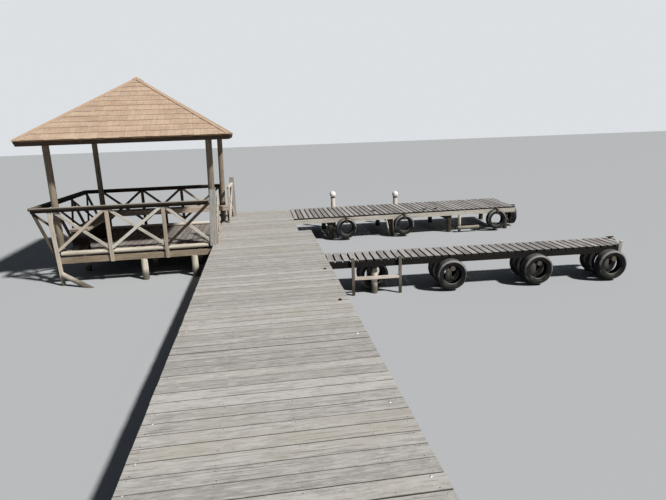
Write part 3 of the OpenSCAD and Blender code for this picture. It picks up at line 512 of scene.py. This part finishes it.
bench_wood = timber("bench_wood", (196, 184, 172), (164, 150, 138), (92, 82, 74), warm=(196, 172, 154))
low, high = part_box("bench_seats")
seat_w, seat_t, slat, slat_gap = 0.38, 0.05, 0.089, 0.008
back_y, slat_z = high.y - seat_w, high.z - seat_t / 2
roof_post_x = -1.1403
slats = []
for i in range(4):
    off = slat / 2 + i * (slat + slat_gap)
    end = high.x if i < 2 else roof_post_x
    slats.append(((low.x, back_y + off, slat_z), (end, back_y + off, slat_z), up))
    slats.append(((low.x + off, low.y, slat_z), (low.x + off, back_y - 0.02, slat_z), up))
apron_y, apron_z, apron_h, apron_t = back_y + 0.012, low.z - 0.038, 0.078, 0.022
apron = [((low.x + seat_w, apron_y, apron_z), (high.x - 0.01, apron_y, apron_z), (0, -1, 0))]
piece("bench_slats", saw(slats, slat, seat_t, bench_wood, 31, rounding=0.006, trim=0.004), "bench_wood",
    "bench_seats")
piece("bench_apron", saw(apron, apron_h, apron_t, bench_wood, 32), "bench_wood")

# %% [markdown]
# ## The shelter's railings
# Every railing is a flat frame of posts with crossed braces in each bay. In front, at the back and on the left
# a top rail ties it, under a flat handrail that overhangs it. The two braces of a bay lie one behind the
# other, so that they pass each other at the middle. They are pale, but for one brown and one nearly black
# brace in front, painted as shade, and the darker posts and braces at the back, except its last brace, and on
# the left, painted as shade too. The top rails are painted dark as the shade under the handrails. The left
# railing leans out, the one past the entrance slants in under a top rail of its own, and the front corner
# post leans and runs down to the ground. Each frame is drawn in its own plane first, and a matrix sets it in
# place.

# %% Draw the railings' lines
floor_x0, floor_x1, floor_y0, floor_y1, floor_w, floor_l = -4.23, -1.1, 10.36, 13.71, 3.13, 3.35
ground, floor_top, rail_foot, rail_under = -0.65, -0.03, -0.195, 0.93
low_brace, raised_brace = 0.055, 0.085
post_w, post_t, brace_w, brace_t, newel_w, newel_h = 0.072, 0.045, 0.06, 0.022, 0.125, 1.186
left_out, side_y, side_len = 0.33, 10.5756, 0.865
wing_x, wing_y, wing_in, wing_len, wing_h, wing_newel_h = -0.9, 13.03, 0.055, 1.1, 0.965, 1.1
posts, shade_painted_posts, newels = [], [], []
braces, half_shaded_braces, fully_shaded_braces, shade_painted_braces = [], [], [], []
quarter = math.pi / 2


def frame_lines(place, centres, foot, low, high, mid, upright=None, top=None, other=None, kind=posts):
    """Posts and crossed braces in the XZ plane of a frame at the depth mid; other has the braces painted darker
    as shade.
    """
    face = place.to_3x3() @ Vector((0, -1, 0))

    def line(x0, z0, x1, z1, depth):
        return place @ Vector((x0, depth, z0)), place @ Vector((x1, depth, z1)), face
    kind.extend(line(x, foot, x, top or high, mid) for x in upright or centres)
    for bay, (a, b) in enumerate(zip(centres, centres[1:])):
        for depth, za, zb in ((-brace_t / 2, low, high), (brace_t / 2, high, low)):
            ease = brace_w * 0.24 if za < zb else -brace_w * 0.24
            (other or {}).get((bay, za < zb), braces).append(line(a, za + ease, b, zb - ease, mid + depth))


def leaning(degrees):
    """The direction of a post that leans along X."""
    return Vector((math.sin(math.radians(degrees)), 0, math.cos(math.radians(degrees))))


def four(start, length):
    """The middles of four posts, evenly spaced over a length."""
    return [start + post_w / 2 + i * (length - post_w) / 3 for i in range(4)]


front_x = [floor_x0 + post_w / 2, floor_x0 + floor_w * 0.345, floor_x0 + floor_w * 0.7, floor_x1]
every = {(bay, rising): shade_painted_braces for bay in range(3) for rising in (False, True)}
all_but_last = {key: kind for key, kind in every.items() if key != (2, False)}
# Painted shade: the first rising brace in front is brown, and the last one nearly black.
frame_lines(moved(0, floor_y0), front_x, rail_foot, low_brace, rail_under, -post_t / 2, upright=front_x[1:3],
    other={(0, True): half_shaded_braces, (2, True): fully_shaded_braces})
foot, lean = Vector((front_x[0], floor_y0 - post_t / 2, rail_foot)), leaning(-2.5)
posts.append((foot + lean * (ground - rail_foot + 0.002) / lean.z,
    foot + lean * (rail_under - rail_foot) / lean.z, (0, -1, 0)))
foot, lean = Vector((floor_x1 + 0.006, floor_y0 - post_t / 2, 0)), leaning(4)
newels.append((foot - lean * 0.003, foot + lean * (newel_h / lean.z), (0, -1, 0)))
frame_lines(moved(0, floor_y1), four(floor_x0, floor_w), rail_foot, low_brace, rail_under, post_t / 2,
    other=all_but_last, kind=shade_painted_posts)
angle = math.atan2(left_out, rail_under - floor_top)
left_place = moved(floor_x0, floor_y0, floor_top) @ turned(-angle, "Y") @ turned(quarter, "Z")
left_top = (rail_under - floor_top) / math.cos(angle)
frame_lines(left_place, four(0, floor_l), -0.05, raised_brace, left_top - 0.03, post_t / 2,
    top=left_top - 0.006, other=every, kind=shade_painted_posts)
frame_lines(moved(floor_x1 + 0.05 + post_t / 2, side_y) @ turned(quarter, "Z"),
    [post_w / 2, side_len - post_w / 2], 0, raised_brace, rail_under, 0)
wing_place = moved(wing_x, wing_y) @ turned(quarter - math.asin(wing_in / wing_len), "Z")
frame_lines(wing_place, [post_w / 2, wing_len - post_w / 2], 0, raised_brace, rail_under, -post_t / 2)
wing_end, wing_top = wing_len + post_t / 2, wing_h - post_w / 2


def wing_line(x0, z0, x1, z1, facing):
    ends = [wing_place @ Vector((x, -post_t / 2, z)) for x, z in ((x0, z0), (x1, z1))]
    return *ends, wing_place.to_3x3() @ Vector(facing)


newels.append(wing_line(wing_end, 0, wing_end, wing_newel_h, (-1, 0, 0)))
wing_tops = [wing_line(0, wing_top, wing_len, wing_top, (0, -1, 0))]
print(len(posts) + len(shade_painted_posts), "posts,", len(braces + half_shaded_braces + fully_shaded_braces + shade_painted_braces), "braces")

# %% Draw the handrails and the top rails under them
cap_w, cap_t, top_h, top_t = 0.14, 0.04, 0.052, 0.049
caps, tops = {}, []
for name in ("front_handrail", "back_handrail", "left_handrail"):
    low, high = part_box(name)
    middle, cap_z, top_z = (low + high) / 2, low.z + cap_t / 2, low.z - top_h / 2
    if name == "left_handrail":
        caps[name] = ((middle.x, low.y, cap_z), (middle.x, high.y, cap_z), up)
        x = middle.x + 0.02
        tops.append(((x, low.y - 0.04, top_z), (x, high.y + 0.04, top_z), (1, 0, 0)))
    else:
        shift = 0.06 if name == "front_handrail" else 0
        caps[name] = ((low.x + shift, middle.y, cap_z), (high.x + shift, middle.y, cap_z), up)
        tops.append(((low.x + 0.075, middle.y, top_z), (high.x + shift - 0.004, middle.y, top_z), (0, -1, 0)))
print(len(caps), "handrails")

# %% Saw the railings
post_wood = timber("rail_post_wood", (194, 184, 170), (158, 146, 131), (84, 75, 65), foot=True,
    warm=(184, 164, 142))
brace_wood = timber("brace_wood", (212, 208, 199), (168, 162, 151), (98, 88, 77), warm=(186, 172, 152))
newel_wood = timber("newel_wood", (188, 186, 182), (146, 144, 140), (82, 79, 75), warm=(166, 159, 150))
top_wood = timber("top_rail_wood", (226, 220, 208), (198, 190, 176), (130, 118, 102))
# Painted shade: the top rails, and the nearly black front brace, take this dark wood.
under_shade_wood = timber("rail_wood_dark_as_shade", (62, 52, 43), (42, 35, 29), (22, 18, 15))
# Painted shade: the back and left railings' posts and braces take this darker wood.
shade_painted_wood = timber("rail_wood_painted_as_shade", (116, 106, 94), (80, 72, 62), (40, 34, 29))
# Painted shade: the handrails' faces that don't look up take a dark side colour, and the back and left
# handrails are darker all over.
cap_wood = timber("handrail_wood", (178, 171, 160), (130, 123, 112), (46, 40, 35), side=(56, 50, 44))
shade_wood = timber("handrail_wood_painted_as_shade", (140, 131, 117), (102, 93, 81), (40, 35, 30), side=(56, 50, 44))
post, brace, cap = (post_w, post_t), (brace_w, brace_t), (cap_w, cap_t)
for name, lines, size, paint, seed, rounding, replaced in (
        ("rail_posts", posts, post, post_wood, 41, 0.005, "front_railing side_railing wing_railing"),
        ("rail_braces", braces, brace, brace_wood, 42, 0.003,
            "front_railing back_railing side_railing wing_railing"),
        ("half_shaded_brace", half_shaded_braces, brace, post_wood, 40, 0.003, "front_railing"),
        ("fully_shaded_brace", fully_shaded_braces, brace, under_shade_wood, 39, 0.003, "front_railing"),
        ("posts_painted_as_shade", shade_painted_posts, post, shade_painted_wood, 49, 0.005, "back_railing left_railing"),
        ("braces_painted_as_shade", shade_painted_braces, brace, shade_painted_wood, 46, 0.003, "back_railing left_railing"),
        ("newel_boards", newels, (newel_w, post_t), newel_wood, 43, 0.008, "front_railing wing_railing"),
        ("wing_top_rail", wing_tops, (post_w, post_t + 0.002), top_wood, 45, 0.005, "wing_railing"),
        ("front_cap", [caps["front_handrail"]], cap, cap_wood, 44, 0.008, "front_handrail"),
        ("other_caps", [caps["back_handrail"], caps["left_handrail"]], cap, shade_wood, 47, 0.008,
            "back_handrail left_handrail"),
        ("top_rails", tops, (top_h, top_t), under_shade_wood, 48, 0.005, "front_railing back_railing left_railing")):
    piece(name, saw(lines, *size, paint, seed, rounding), "rail_wood", *replaced.split())

# %% [markdown]
# ## The hipped roof
# The roof has a short ridge and four sides at one pitch, and sits on its plates turned by two degrees. Each
# side is boarded, and twelve courses of wooden shingles are nailed over the boards, each course covering the
# top of the one below. A shingle is a thin wedge, thick at its lower edge. The cells below are the shingles'
# outlines on the boards, sawn to the hips, and a tree gives each cell its wedge, tips it so that its lower
# edge lies on the course below, and gives it a tone.

# %% Tree that makes shingles from cells
def shingle_tree():
    graph, given = group("shingles_from_cells", "Butt Tip Rise Lift")
    down = graph.field("down", "FLOAT")
    cells = store(graph, given["Geometry"], "tone", random_by(graph, 0.0, 1.0, given["Seed"], "FACE"))
    height = down * (given["Rise"] + given["Lift"] * random_by(graph, 0.0, 1.0, given["Seed"] + 4, "FACE"))
    offset = graph.scale(graph.add("GeometryNodeInputNormal"), height)
    cells = graph.add("GeometryNodeSetPosition", {"Geometry": cells, "Offset": offset})
    slab = graph.add("GeometryNodeExtrudeMesh",
        {"Mesh": cells, "Offset Scale": given["Butt"], "Individual": True}, mode="FACES")
    upper = Wire(graph, slab.socket.node.outputs["Top"])
    thin = graph.scale(graph.field("outward"), (given["Tip"] - given["Butt"]) * (1 - down))
    wedge = graph.add("GeometryNodeSetPosition", {"Geometry": slab, "Selection": upper, "Offset": thin})
    under = graph.add("GeometryNodeFlipFaces", {0: cells})
    both = graph.add("GeometryNodeJoinGeometry", {0: under})
    graph.link(wedge, both.socket.node.inputs[0])
    closed = graph.add("GeometryNodeMergeByDistance", {"Geometry": both, "Distance": 0.0001})
    return close_group(graph, closed, given["Material"], flat=True)


shingling = shingle_tree()
print("tree", shingling.name)

# %% Lay out the cells of one side
low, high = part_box("fascia")
middle_x, middle_y = (low.x + high.x) / 2, (low.y + high.y) / 2
run, ridge_half, eave_z, roof_turn = 1.9655, 0.13, 2.262, 2
roof_rise, roof_board, courses = 1.26, 0.022, 12
pitch_normal = Vector((0, -roof_rise, run)).normalized()
slope_len = math.hypot(run, roof_rise)


def side_frame(side):
    """A side's frame, with X along its eave and Y inward, its normal, and half its upper edge's length."""
    across = side % 2 == 0
    place = (moved(middle_x, middle_y, eave_z) @ turned(math.radians(90 * side + roof_turn), "Z")
        @ moved(0, -ridge_half if across else 0))
    return place, place.to_3x3() @ pitch_normal, 0 if across else ridge_half


def clip(polygon, a, b, c):
    """The part of a polygon where a*x + b*y <= c; its points are (x, y, down)."""
    kept = []
    for p, q in zip(polygon, polygon[1:] + polygon[:1]):
        dp, dq = a * p[0] + b * p[1] - c, a * q[0] + b * q[1] - c
        if dp <= 0:
            kept.append(p)
        if dp * dq < 0:
            t = dp / (dp - dq)
            kept.append(tuple(u + (v - u) * t for u, v in zip(p, q)))
    return kept


def wobble(*key):
    """A fixed number from 0 to 1 for each set of counts."""
    return (math.sin(sum((i + 1) * 12.9898 * k for i, k in enumerate(key)) + 4.1) * 43758.5453) % 1.0


def shingle_cells(side, width=0.105, joint=0.0025, lap=1.9, overhang=0.015, uneven=0.014, hip_gap=0.001):
    """The outlines of one side's shingles, whose points say how far down a shingle they are."""
    place, normal, top = side_frame(side)
    verts, faces, downs, grains = [], [], [], []
    exposed = run / courses
    for i in range(courses):
        y0 = -run + i * exposed - (overhang if i == 0 else 0)
        y1 = min(-run + (i + lap) * exposed, -2 * hip_gap)
        x = -(top - y0) - width * wobble(side, i, 3)
        k = 0
        while x < top - y0:
            w = width * (0.65 + 0.8 * wobble(side, i, k))
            x0, x1, butt = x + joint / 2, x + w - joint / 2, y0 + uneven * wobble(side, k, i + 7)
            outline = [(x0, butt, 1.0), (x1, butt, 1.0), (x1, y1, 0.0), (x0, y1, 0.0)]
            outline = clip(clip(outline, 1, 1, top - hip_gap), -1, 1, top - hip_gap)
            if len(outline) > 2:
                faces.append(tuple(range(len(verts), len(verts) + len(outline))))
                verts += [place @ Vector((px, py, (py + run) * roof_rise / run + roof_board))
                    for px, py, _ in outline]
                downs += [down for _, _, down in outline]
                grains += [v for px, py, _ in outline for v in (py * slope_len / run, px, 0.0)]
            x += w
            k += 1
    mesh = new_mesh("cells", verts, faces=faces)
    mark(mesh, "down", downs)
    mark(mesh, "grain", grains)
    mark(mesh, "outward", list(normal) * len(verts))
    print("side", side, len(faces), "shingles")
    return mesh


# %% [markdown]
# The shingles' finish is a weathered tan that drifts lighter and darker over the roof. Some shingles are
# pinker, and each has fine grain down the slope and a darker edge at the bottom, partly wear and partly
# painted shade of the course line.

# %% Shingle finish
def shingle_finish(name):
    made, graph, shader = material(name, 0.82)
    place, tone, axis = grain_place(graph, "attribute")
    fibre = grained(graph, place, axis, 0.05, 120, 4.0, 0.6)
    streak = grained(graph, place, axis, 0.12, 26, 3.0)
    drift = graph.noise(graph.vector("MULTIPLY", graph.read("grain", "Vector"), (3.0, 0.5, 1.0)), 1.6, 3.0)
    shade = graph.smooth(tone * 0.1 + streak * 0.3 + drift * 0.6, 0.36, 0.64)
    colour = graph.mix(shade, (175, 152, 132), (197, 175, 154))
    pink = graph.smooth(graph.math("FRACT", tone * 23.7), 0.7, 0.95)
    colour = graph.mix(pink * 0.25, colour, (188, 158, 136))
    colour = graph.mix(graph.smooth(fibre, 0.5, 0.8) * 0.3, colour, (146, 120, 96))
    # Painted shade, partly weathering: each shingle darkens along its bottom edge, as the shade line under the
    # course.
    darker_edge = graph.smooth(graph.read("down") + (streak - 0.5) * 0.05, 0.945, 0.99)
    colour = graph.mix(darker_edge * 0.22, colour, (122, 92, 70))
    coat(graph, shader, colour, 0.5, 0.002, fibre * 0.6 + streak * 0.4)
    return made


shingle_wood = shingle_finish("shingle_wood")
sarking_wood = timber("sarking_wood", (176, 146, 112), (142, 112, 82), (86, 64, 46))
print(shingle_wood.name)

# %% Board and shingle the four sides
def sarking(side, count=15):
    """The boards under the shingles, sawn to the hips."""
    place, normal, top = side_frame(side)
    lines = []
    for i in range(count):
        y = -run + (i + 0.5) * run / count
        reach = top - y + run / count
        z = (y + run) * roof_rise / run + roof_board / 2
        lines.append((place @ Vector((-reach, y, z)), place @ Vector((reach, y, z)), normal))
    mesh = saw(lines, slope_len / count - joint, roof_board * run / slope_len, sarking_wood, 50 + side,
        rounding=0.002)
    for s in (-1, 1):
        cut(mesh, place @ Vector((s * top, 0, 0)), place.to_3x3() @ Vector((s, 1, 0)).normalized())
    return mesh


for side, name in enumerate(("front", "right", "back", "left")):
    cover = grow(shingling, shingle_cells(side), butt=0.007, tip=0.003, rise=0.01, lift=0.003, seed=60 + side,
        material=shingle_wood)
    piece("shingles_" + name, cover, "shingles", "roof_" + name)
    piece("roof_boards_" + name, sarking(side), "roof_timber", "roof_" + name)

# %% [markdown]
# ## Tyres
# The fenders are worn car tyres. A tyre is one open carcass: bead, side wall, shoulder and tread.
# Its half section is drawn once, mirrored and spun, and a Geometry Nodes tree sets rows of small tread blocks
# round it. The shoulders are scuffed pale, so an attribute marks them for the finish. The finished tyre is then
# copied to each place where the piers hang one.

# %% Tree that sets tread blocks round a tyre
def tread_tree():
    graph, given = group("tread_blocks", "Radius Width Length Depth", "Count")
    ring = graph.add("GeometryNodeCurvePrimitiveCircle",
        {"Resolution": given["Count"], "Radius": given["Radius"]})
    spots = graph.add("GeometryNodeCurveToPoints", {"Curve": ring, "Count": given["Count"]}, mode="COUNT")
    size = graph.join(given["Depth"], given["Length"], given["Width"])
    block = graph.add("GeometryNodeMeshCube", {"Size": size})
    turn = graph.add("FunctionNodeAlignRotationToVector",
        {"Vector": graph.add("GeometryNodeInputPosition")}, axis="X")
    blocks = graph.add("GeometryNodeInstanceOnPoints", {"Points": spots, "Instance": block, "Rotation": turn})
    return close_group(graph, blocks, given["Material"])


treading = tread_tree()
print("tree", treading.name)

# %% Rubber finish
def rubber_finish(name):
    made, graph, shader = material(name, 0.62)
    place = graph.coordinates()
    dust, fine = graph.noise(place, 9.0, 5.0, 0.6), graph.noise(place, 70.0, 3.0)
    upward = graph.upward()
    colour = graph.mix(graph.smooth(dust, 0.35, 0.75), (15, 15, 17), (37, 37, 39))
    settled = graph.smooth(upward + (dust - 0.5) * 0.9 + (fine - 0.5) * 0.5, 0.2, 0.8)
    colour = graph.mix(settled * 0.75, colour, (134, 133, 131))
    scuffed = graph.read("scuffed") * graph.smooth(upward * 0.5 + dust + fine * 0.4, 0.45, 0.95)
    colour = graph.mix(scuffed * 0.8, colour, (154, 153, 151))
    wet = 1 - graph.smooth(graph.part(place, "Z") + dust * 0.12, -0.52, -0.36)
    colour = graph.mix(wet * 0.7, colour, (38, 42, 30))
    graph.link(0.5 + dust * 0.45 - wet * 0.3, shader.inputs["Roughness"])
    coat(graph, shader, colour, 0.35, 0.001, fine)
    return made


rubber = rubber_finish("tyre_rubber")
print(rubber.name)

# %% Make one tyre
tyre_r, bead_r, tyre_w = 0.28, 0.165, 0.185


def carcass(steps=64):
    """A closed ring with its axle along Y, spun from the section of an open tyre."""
    half = tyre_w / 2
    outer = [(bead_r, 0.047), (bead_r + 0.004, 0.066), (bead_r + 0.02, 0.078), (bead_r + 0.026, 0.0775),
        (bead_r + 0.045, 0.088), (bead_r + 0.062, half), (bead_r + 0.078, half - 0.001),
        (bead_r + 0.083, half - 0.005), (tyre_r - 0.021, half - 0.01), (tyre_r - 0.008, half - 0.022),
        (tyre_r - 0.005, 0.05), (tyre_r - 0.0045, 0.026), (tyre_r - 0.0045, 0)]
    inner = [(tyre_r - 0.016, 0), (tyre_r - 0.017, 0.05), (tyre_r - 0.028, half - 0.022),
        (bead_r + 0.06, half - 0.011), (bead_r + 0.028, 0.066), (bead_r + 0.012, 0.05)]
    mirrored = [(r, -y) for r, y in reversed(outer[:-1])] + [(r, -y) for r, y in reversed(inner)][:-1]
    ring = outer + mirrored + inner
    turns = [2 * math.pi * s / steps for s in range(steps)]
    verts = [(r * math.cos(turn), y, r * math.sin(turn)) for turn in turns for r, y in ring]
    n = len(ring)
    faces = [(s * n + k, s * n + (k + 1) % n, (s + 1) % steps * n + (k + 1) % n, (s + 1) % steps * n + k)
        for s in range(steps) for k in range(n)]
    mesh = new_mesh("carcass", verts, faces=faces)
    mark(mesh, "scuffed", [float(math.hypot(x, z) > bead_r + 0.08 and abs(y) > half - 0.03)
        for x, y, z in verts])
    work = bmesh.new()
    work.from_mesh(mesh)
    bmesh.ops.remove_doubles(work, verts=work.verts, dist=1e-6)
    bmesh.ops.recalc_face_normals(work, faces=work.faces)
    for face in work.faces:
        face.smooth = True
    work.to_mesh(mesh)
    work.free()
    mesh.materials.append(rubber)
    return mesh


def tyre_mesh():
    """A carcass with five rows of tread blocks, the outer rows set lower."""
    parts = [carcass()]
    for offset, width, length, count in ((0.0, 0.034, 0.026, 52), (0.038, 0.028, 0.024, 56),
            (-0.038, 0.028, 0.024, 56), (0.066, 0.018, 0.022, 52), (-0.066, 0.018, 0.022, 52)):
        drop = 0.013 if abs(offset) > 0.05 else 0.006
        blocks = grow(treading, bpy.data.meshes.new("none"), radius=tyre_r - drop, width=width, length=length,
            depth=0.009, count=count, material=rubber)
        blocks.transform(turned(quarter, "X") @ turned(offset * 30, "Z"))
        blocks.transform(moved(0, offset))
        parts.append(blocks)
    return joined(parts)


tyre = tyre_mesh()
print("one tyre:", len(tyre.polygons), "faces")

# %% Hang the tyres
def hang(places, name, node):
    copies = [tyre.copy() for _ in places]
    for i, place in enumerate(places):
        copies[i].transform(place @ turned(1.7 * i, "Y"))
    piece(name, joined(copies), "tyre_rubber", node)


free, beam, far_w, far_skew = 0.0003, 0.11, 1.8, 0.2
near_z, far_z = [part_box(node)[0].z + tyre_r for node in ("near_tyres", "far_tyres")]
near_x = (0.83, 2.225, 3.855, near_len - 0.2)
outer_row, inner_rows = [-free - tyre_w / 2], [beam + free + tyre_w / 2, beam + free + tyre_w * 1.5 + 0.002]
near_spots = [(x, y) for x in near_x for y in (outer_row if x > near_x[0] else []) + inner_rows]
hang([near_frame @ moved(x, y, near_z) for x, y in near_spots], "near_tyre_set", "near_tyres")
end_y = far_low.y + tyre_r + 0.25
end_place = (moved(far_x1 + far_skew * (end_y - far_low.y) / far_w, end_y)
    @ turned(quarter - math.atan2(far_skew, far_w), "Z") @ moved(0, 0.0007 - tyre_w / 2, far_z))
far_places = [moved(x, far_low.y - free - tyre_w / 2, far_z) for x in (2.22, 3.84, 6.54)] + [end_place]
hang(far_places, "far_tyre_set", "far_tyres")

# %% [markdown]
# ## Nails
# Each board is nailed to each joist below it with a pair of round heads, some of which have sunk or gone. They
# are tiny, so each head is a low cone of a few faces, and a tree sets one at every point. A few larger
# galvanised heads shine along the walkway's edges.

# %% Tree that sets nail heads, and the nails
def nail_tree():
    graph, given = group("nail_heads", "Radius Height", "")
    head = graph.add("GeometryNodeMeshCone", {"Vertices": 7, "Radius Bottom": given["Radius"],
        "Radius Top": given["Radius"] * 0.6, "Depth": given["Height"]})
    spots = graph.add("GeometryNodeMeshToPoints", {0: given["Geometry"]})
    heads = graph.add("GeometryNodeInstanceOnPoints", {"Points": spots, "Instance": head})
    return close_group(graph, heads, given["Material"])


def iron_finish(name, dark, pale, rough=0.6):
    made, graph, shader = material(name, rough, 0.6)
    rust = graph.noise(graph.coordinates(), 40.0, 4.0)
    coat(graph, shader, graph.mix(graph.smooth(rust, 0.4, 0.7), dark, pale), 0.3, 0.001, rust)
    return made


nail_heads = nail_tree()


def set_heads(name, spots, radius, height, iron):
    start = new_mesh("points", spots)
    piece(name, grow(nail_heads, start, radius=radius, height=height, material=iron), "dark_iron")


nails, nail_side, nail_up = [], 0.035, 0.0185
joist_x = (-1.03, -0.4433, 0.1433, 0.73, 1.03)
for i, y in enumerate(rows):
    joists = joist_x[:4 if y > narrow_from else 5]
    nails += [(x + 0.03 * (wobble(i, k, s) - 0.5), y + s * (0.05 + 0.012 * wobble(i, s, k)), -0.0012)
        for k, x in enumerate(joists) for s in (-1, 1) if wobble(i, k, s + 3) > 0.35]
for lines, shares in ((near_lines[1:-3], (0.055, 0.945)), (far_lines[:-2], (0.02, 0.34, 0.65, 0.96))):
    nails += [a + (b - a) * share + Vector((s * nail_side, 0, nail_up)) for a, b, _ in lines for share in shares
        for s in (-1, 1)]
bolts = [(-1.007, 3.552), (-1.029, 3.044), (-1.036, 2.717), (0.965, 3.492), (0.995, 2.527), (0.98, 5.02),
    (-1.01, 5.52), (0.99, 1.02), (-1.02, 0.55)]
set_heads("deck_nails", nails, 0.0045, 0.0025, iron_finish("nail_iron", (62, 56, 52), (128, 120, 112)))
set_heads("deck_bolts", [(x, y, -0.001) for x, y in bolts], 0.011, 0.005,
    iron_finish("galvanised_iron", (206, 206, 202), (232, 232, 228), rough=0.45))

# %% [markdown]
# ## Finishes for the model's own nodes
# The beams, piles, logs, posts and rafters keep their solids, whose forms are already right, and get the
# same timber recipe with the grain along their length. The near pier's beams, the dark piles, the bench legs
# and the fascia are painted dark as shade. The mooring balls are chalky white paint.

# %% Paint the nodes
def paint_finish(name):
    made, graph, shader = material(name, 0.45)
    place = graph.coordinates()
    chalk, specks = graph.noise(place, 14.0, 4.0), graph.noise(place, 90.0, 2.0)
    colour = graph.mix(graph.smooth(chalk, 0.4, 0.75) * 0.5, (242, 241, 236), (206, 203, 192))
    colour = graph.mix(graph.smooth(specks, 0.7, 0.76) * 0.6, colour, (110, 100, 86))
    graph.link(colour, shader.inputs["Base Color"])
    graph.link(0.35 + chalk * 0.3, shader.inputs["Roughness"])
    return made


def finish(paint, *names):
    for name in names:
        slots = nodes[name].data.materials
        for i in range(len(slots)):
            slots[i] = paint
        if not slots:
            slots.append(paint)
    print(paint.name, "on", ", ".join(names))


dark = (112, 104, 93), (80, 73, 64), (46, 41, 35)
pole = (220, 214, 202), (190, 181, 164), (128, 115, 96)
wet = {"foot": True}
for name, tones, axis, extra, wearers in (
        ("joist_wood", dark, "Y", {}, "walkway_joists"),
        ("head_beam_wood", dark, "X", {}, "walkway_head_beams end_beam"),
        # Painted shade: the near pier's beams are nearly black, as the shade under its boards.
        ("pier_beam_wood_painted_as_shade", ((31, 29, 27), (21, 20, 19), (12, 11, 11)), "X", {},
            "near_pier_beams near_pier_blocks"),
        ("far_head_wood", ((84, 76, 66), (58, 52, 45), (34, 30, 26)), "Y", {}, "far_pier_head_beams"),
        ("strap_wood", ((86, 72, 58), (60, 48, 38), (34, 27, 21)), "Z", {}, "tyre_straps"),
        # Painted shade: these piles are dark, as the shade under the decks.
        ("pile_wood", ((76, 70, 60), (52, 47, 40), (30, 27, 22)), "Z", wet, "walkway_piles far_pier_piles"),
        ("pole_wood", pole, "Z", wet, "near_pier_piles pale_stakes shelter_piles"),
        ("mooring_wood", ((232, 228, 218), (208, 200, 186), (150, 138, 120)), "Z", wet,
            "mooring_posts end_stay"),
        ("edge_log_wood", pole, "X", {}, "floor_logs"),
        ("loose_log_wood", pole, "X", wet, "loose_logs"),
        ("near_log_wood", ((104, 96, 84), (76, 69, 60), (42, 37, 32)), "Y", {}, "near_pier_logs"),
        ("cream_wood", ((206, 202, 193), (160, 154, 143), (92, 84, 74)), "X", {}, "far_pier_beams"),
        ("rim_wood", ((164, 149, 131), (122, 107, 90), (62, 52, 43)), "X", {}, "shelter_beams"),
        ("roof_post_wood", ((150, 138, 122), (108, 98, 85), (50, 43, 37)), "Z", {"relief": 0.7}, "roof_posts"),
        ("ladder_wood", ((126, 118, 109), (88, 81, 74), (46, 41, 37)), "Z", wet, "ladder_posts"),
        ("step_wood", ((222, 212, 202), (192, 178, 166), (122, 106, 94)), "X", {}, "ladder_step"),
        # Painted shade: the bench legs are dark, as the shade under the seats.
        ("bench_leg_wood_painted_as_shade", ((52, 47, 42), (36, 32, 28), (20, 17, 15)), "Z", {}, "bench_legs"),
        ("plate_wood", ((96, 78, 62), (66, 53, 42), (36, 29, 23)), "Y", {}, "wall_plates"),
        ("rafter_wood", ((110, 90, 70), (78, 62, 48), (42, 33, 26)), "Y", {}, "rafters"),
        # Painted shade: the fascia is dark, as the shade under the eaves.
        ("fascia_wood_painted_as_shade", ((58, 45, 36), (40, 31, 25), (22, 17, 14)), "X", {}, "fascia"),
        ("hip_wood", ((194, 172, 149), (174, 151, 130), (134, 111, 91)), "Z", {"spread": 0.1},
            "hip_boards ridge_cap")):
    finish(timber(name, *tones, axis=axis, **extra), *wearers.split())
finish(iron_finish("dark_iron", (38, 36, 35), (84, 66, 54)), "cleats", "mooring_collars")
finish(paint_finish("white_paint"), "mooring_balls")

# %% [markdown]
# ## Floor and light
# The object stands on a plain pale floor where its piles end. One broad lamp stands for the sun, half way up
# the sky on the right behind the viewer, as the shadows in the picture say. The sky is a plain pale backdrop
# for the camera, and lights the shadows only a little.

# %% Stage and lights
reach, stage_z = 120.0, cad_bounds[0][2] - 0.001
corners = [(x * reach, y * reach, stage_z) for x, y in ((-1, -1), (1, -1), (1, 1), (-1, 1))]
mesh = new_mesh("stage_floor", corners, faces=[(0, 1, 2, 3)])
made, graph, shader = material("stage_grey", 0.9)
shader.inputs["Base Color"].default_value = tint(180, 184, 188)
mesh.materials.append(made)
stage = add_object("stage_floor", mesh)
to_sun = Vector((0.76, -0.68, 1.0))
lamp = bpy.data.lights.new("sun", "SUN")
lamp.energy = 4.5
lamp.angle = math.radians(4)
lamp.color = (1.0, 0.97, 0.93)
add_object("sun", lamp).rotation_euler = to_sun.to_track_quat("Z", "Y").to_euler()
world = bpy.data.worlds.new("sky")
world.use_nodes = True
sky = Graph(world.node_tree)
fill = sky.add("ShaderNodeBackground", {0: (0.76, 0.86, 1.0, 1), 1: 0.08})
backdrop = sky.add("ShaderNodeBackground", {0: (0.80, 0.83, 0.86, 1), 1: 0.9})
seen = sky.add("ShaderNodeLightPath", out="Is Camera Ray")
both = sky.add("ShaderNodeMixShader", {0: seen, 1: fill, 2: backdrop})
sky.link(both, world.node_tree.nodes["World Output"].inputs[0])
bpy.context.scene.world = world
bpy.context.scene.view_settings.view_transform = "Standard"
print("lit")
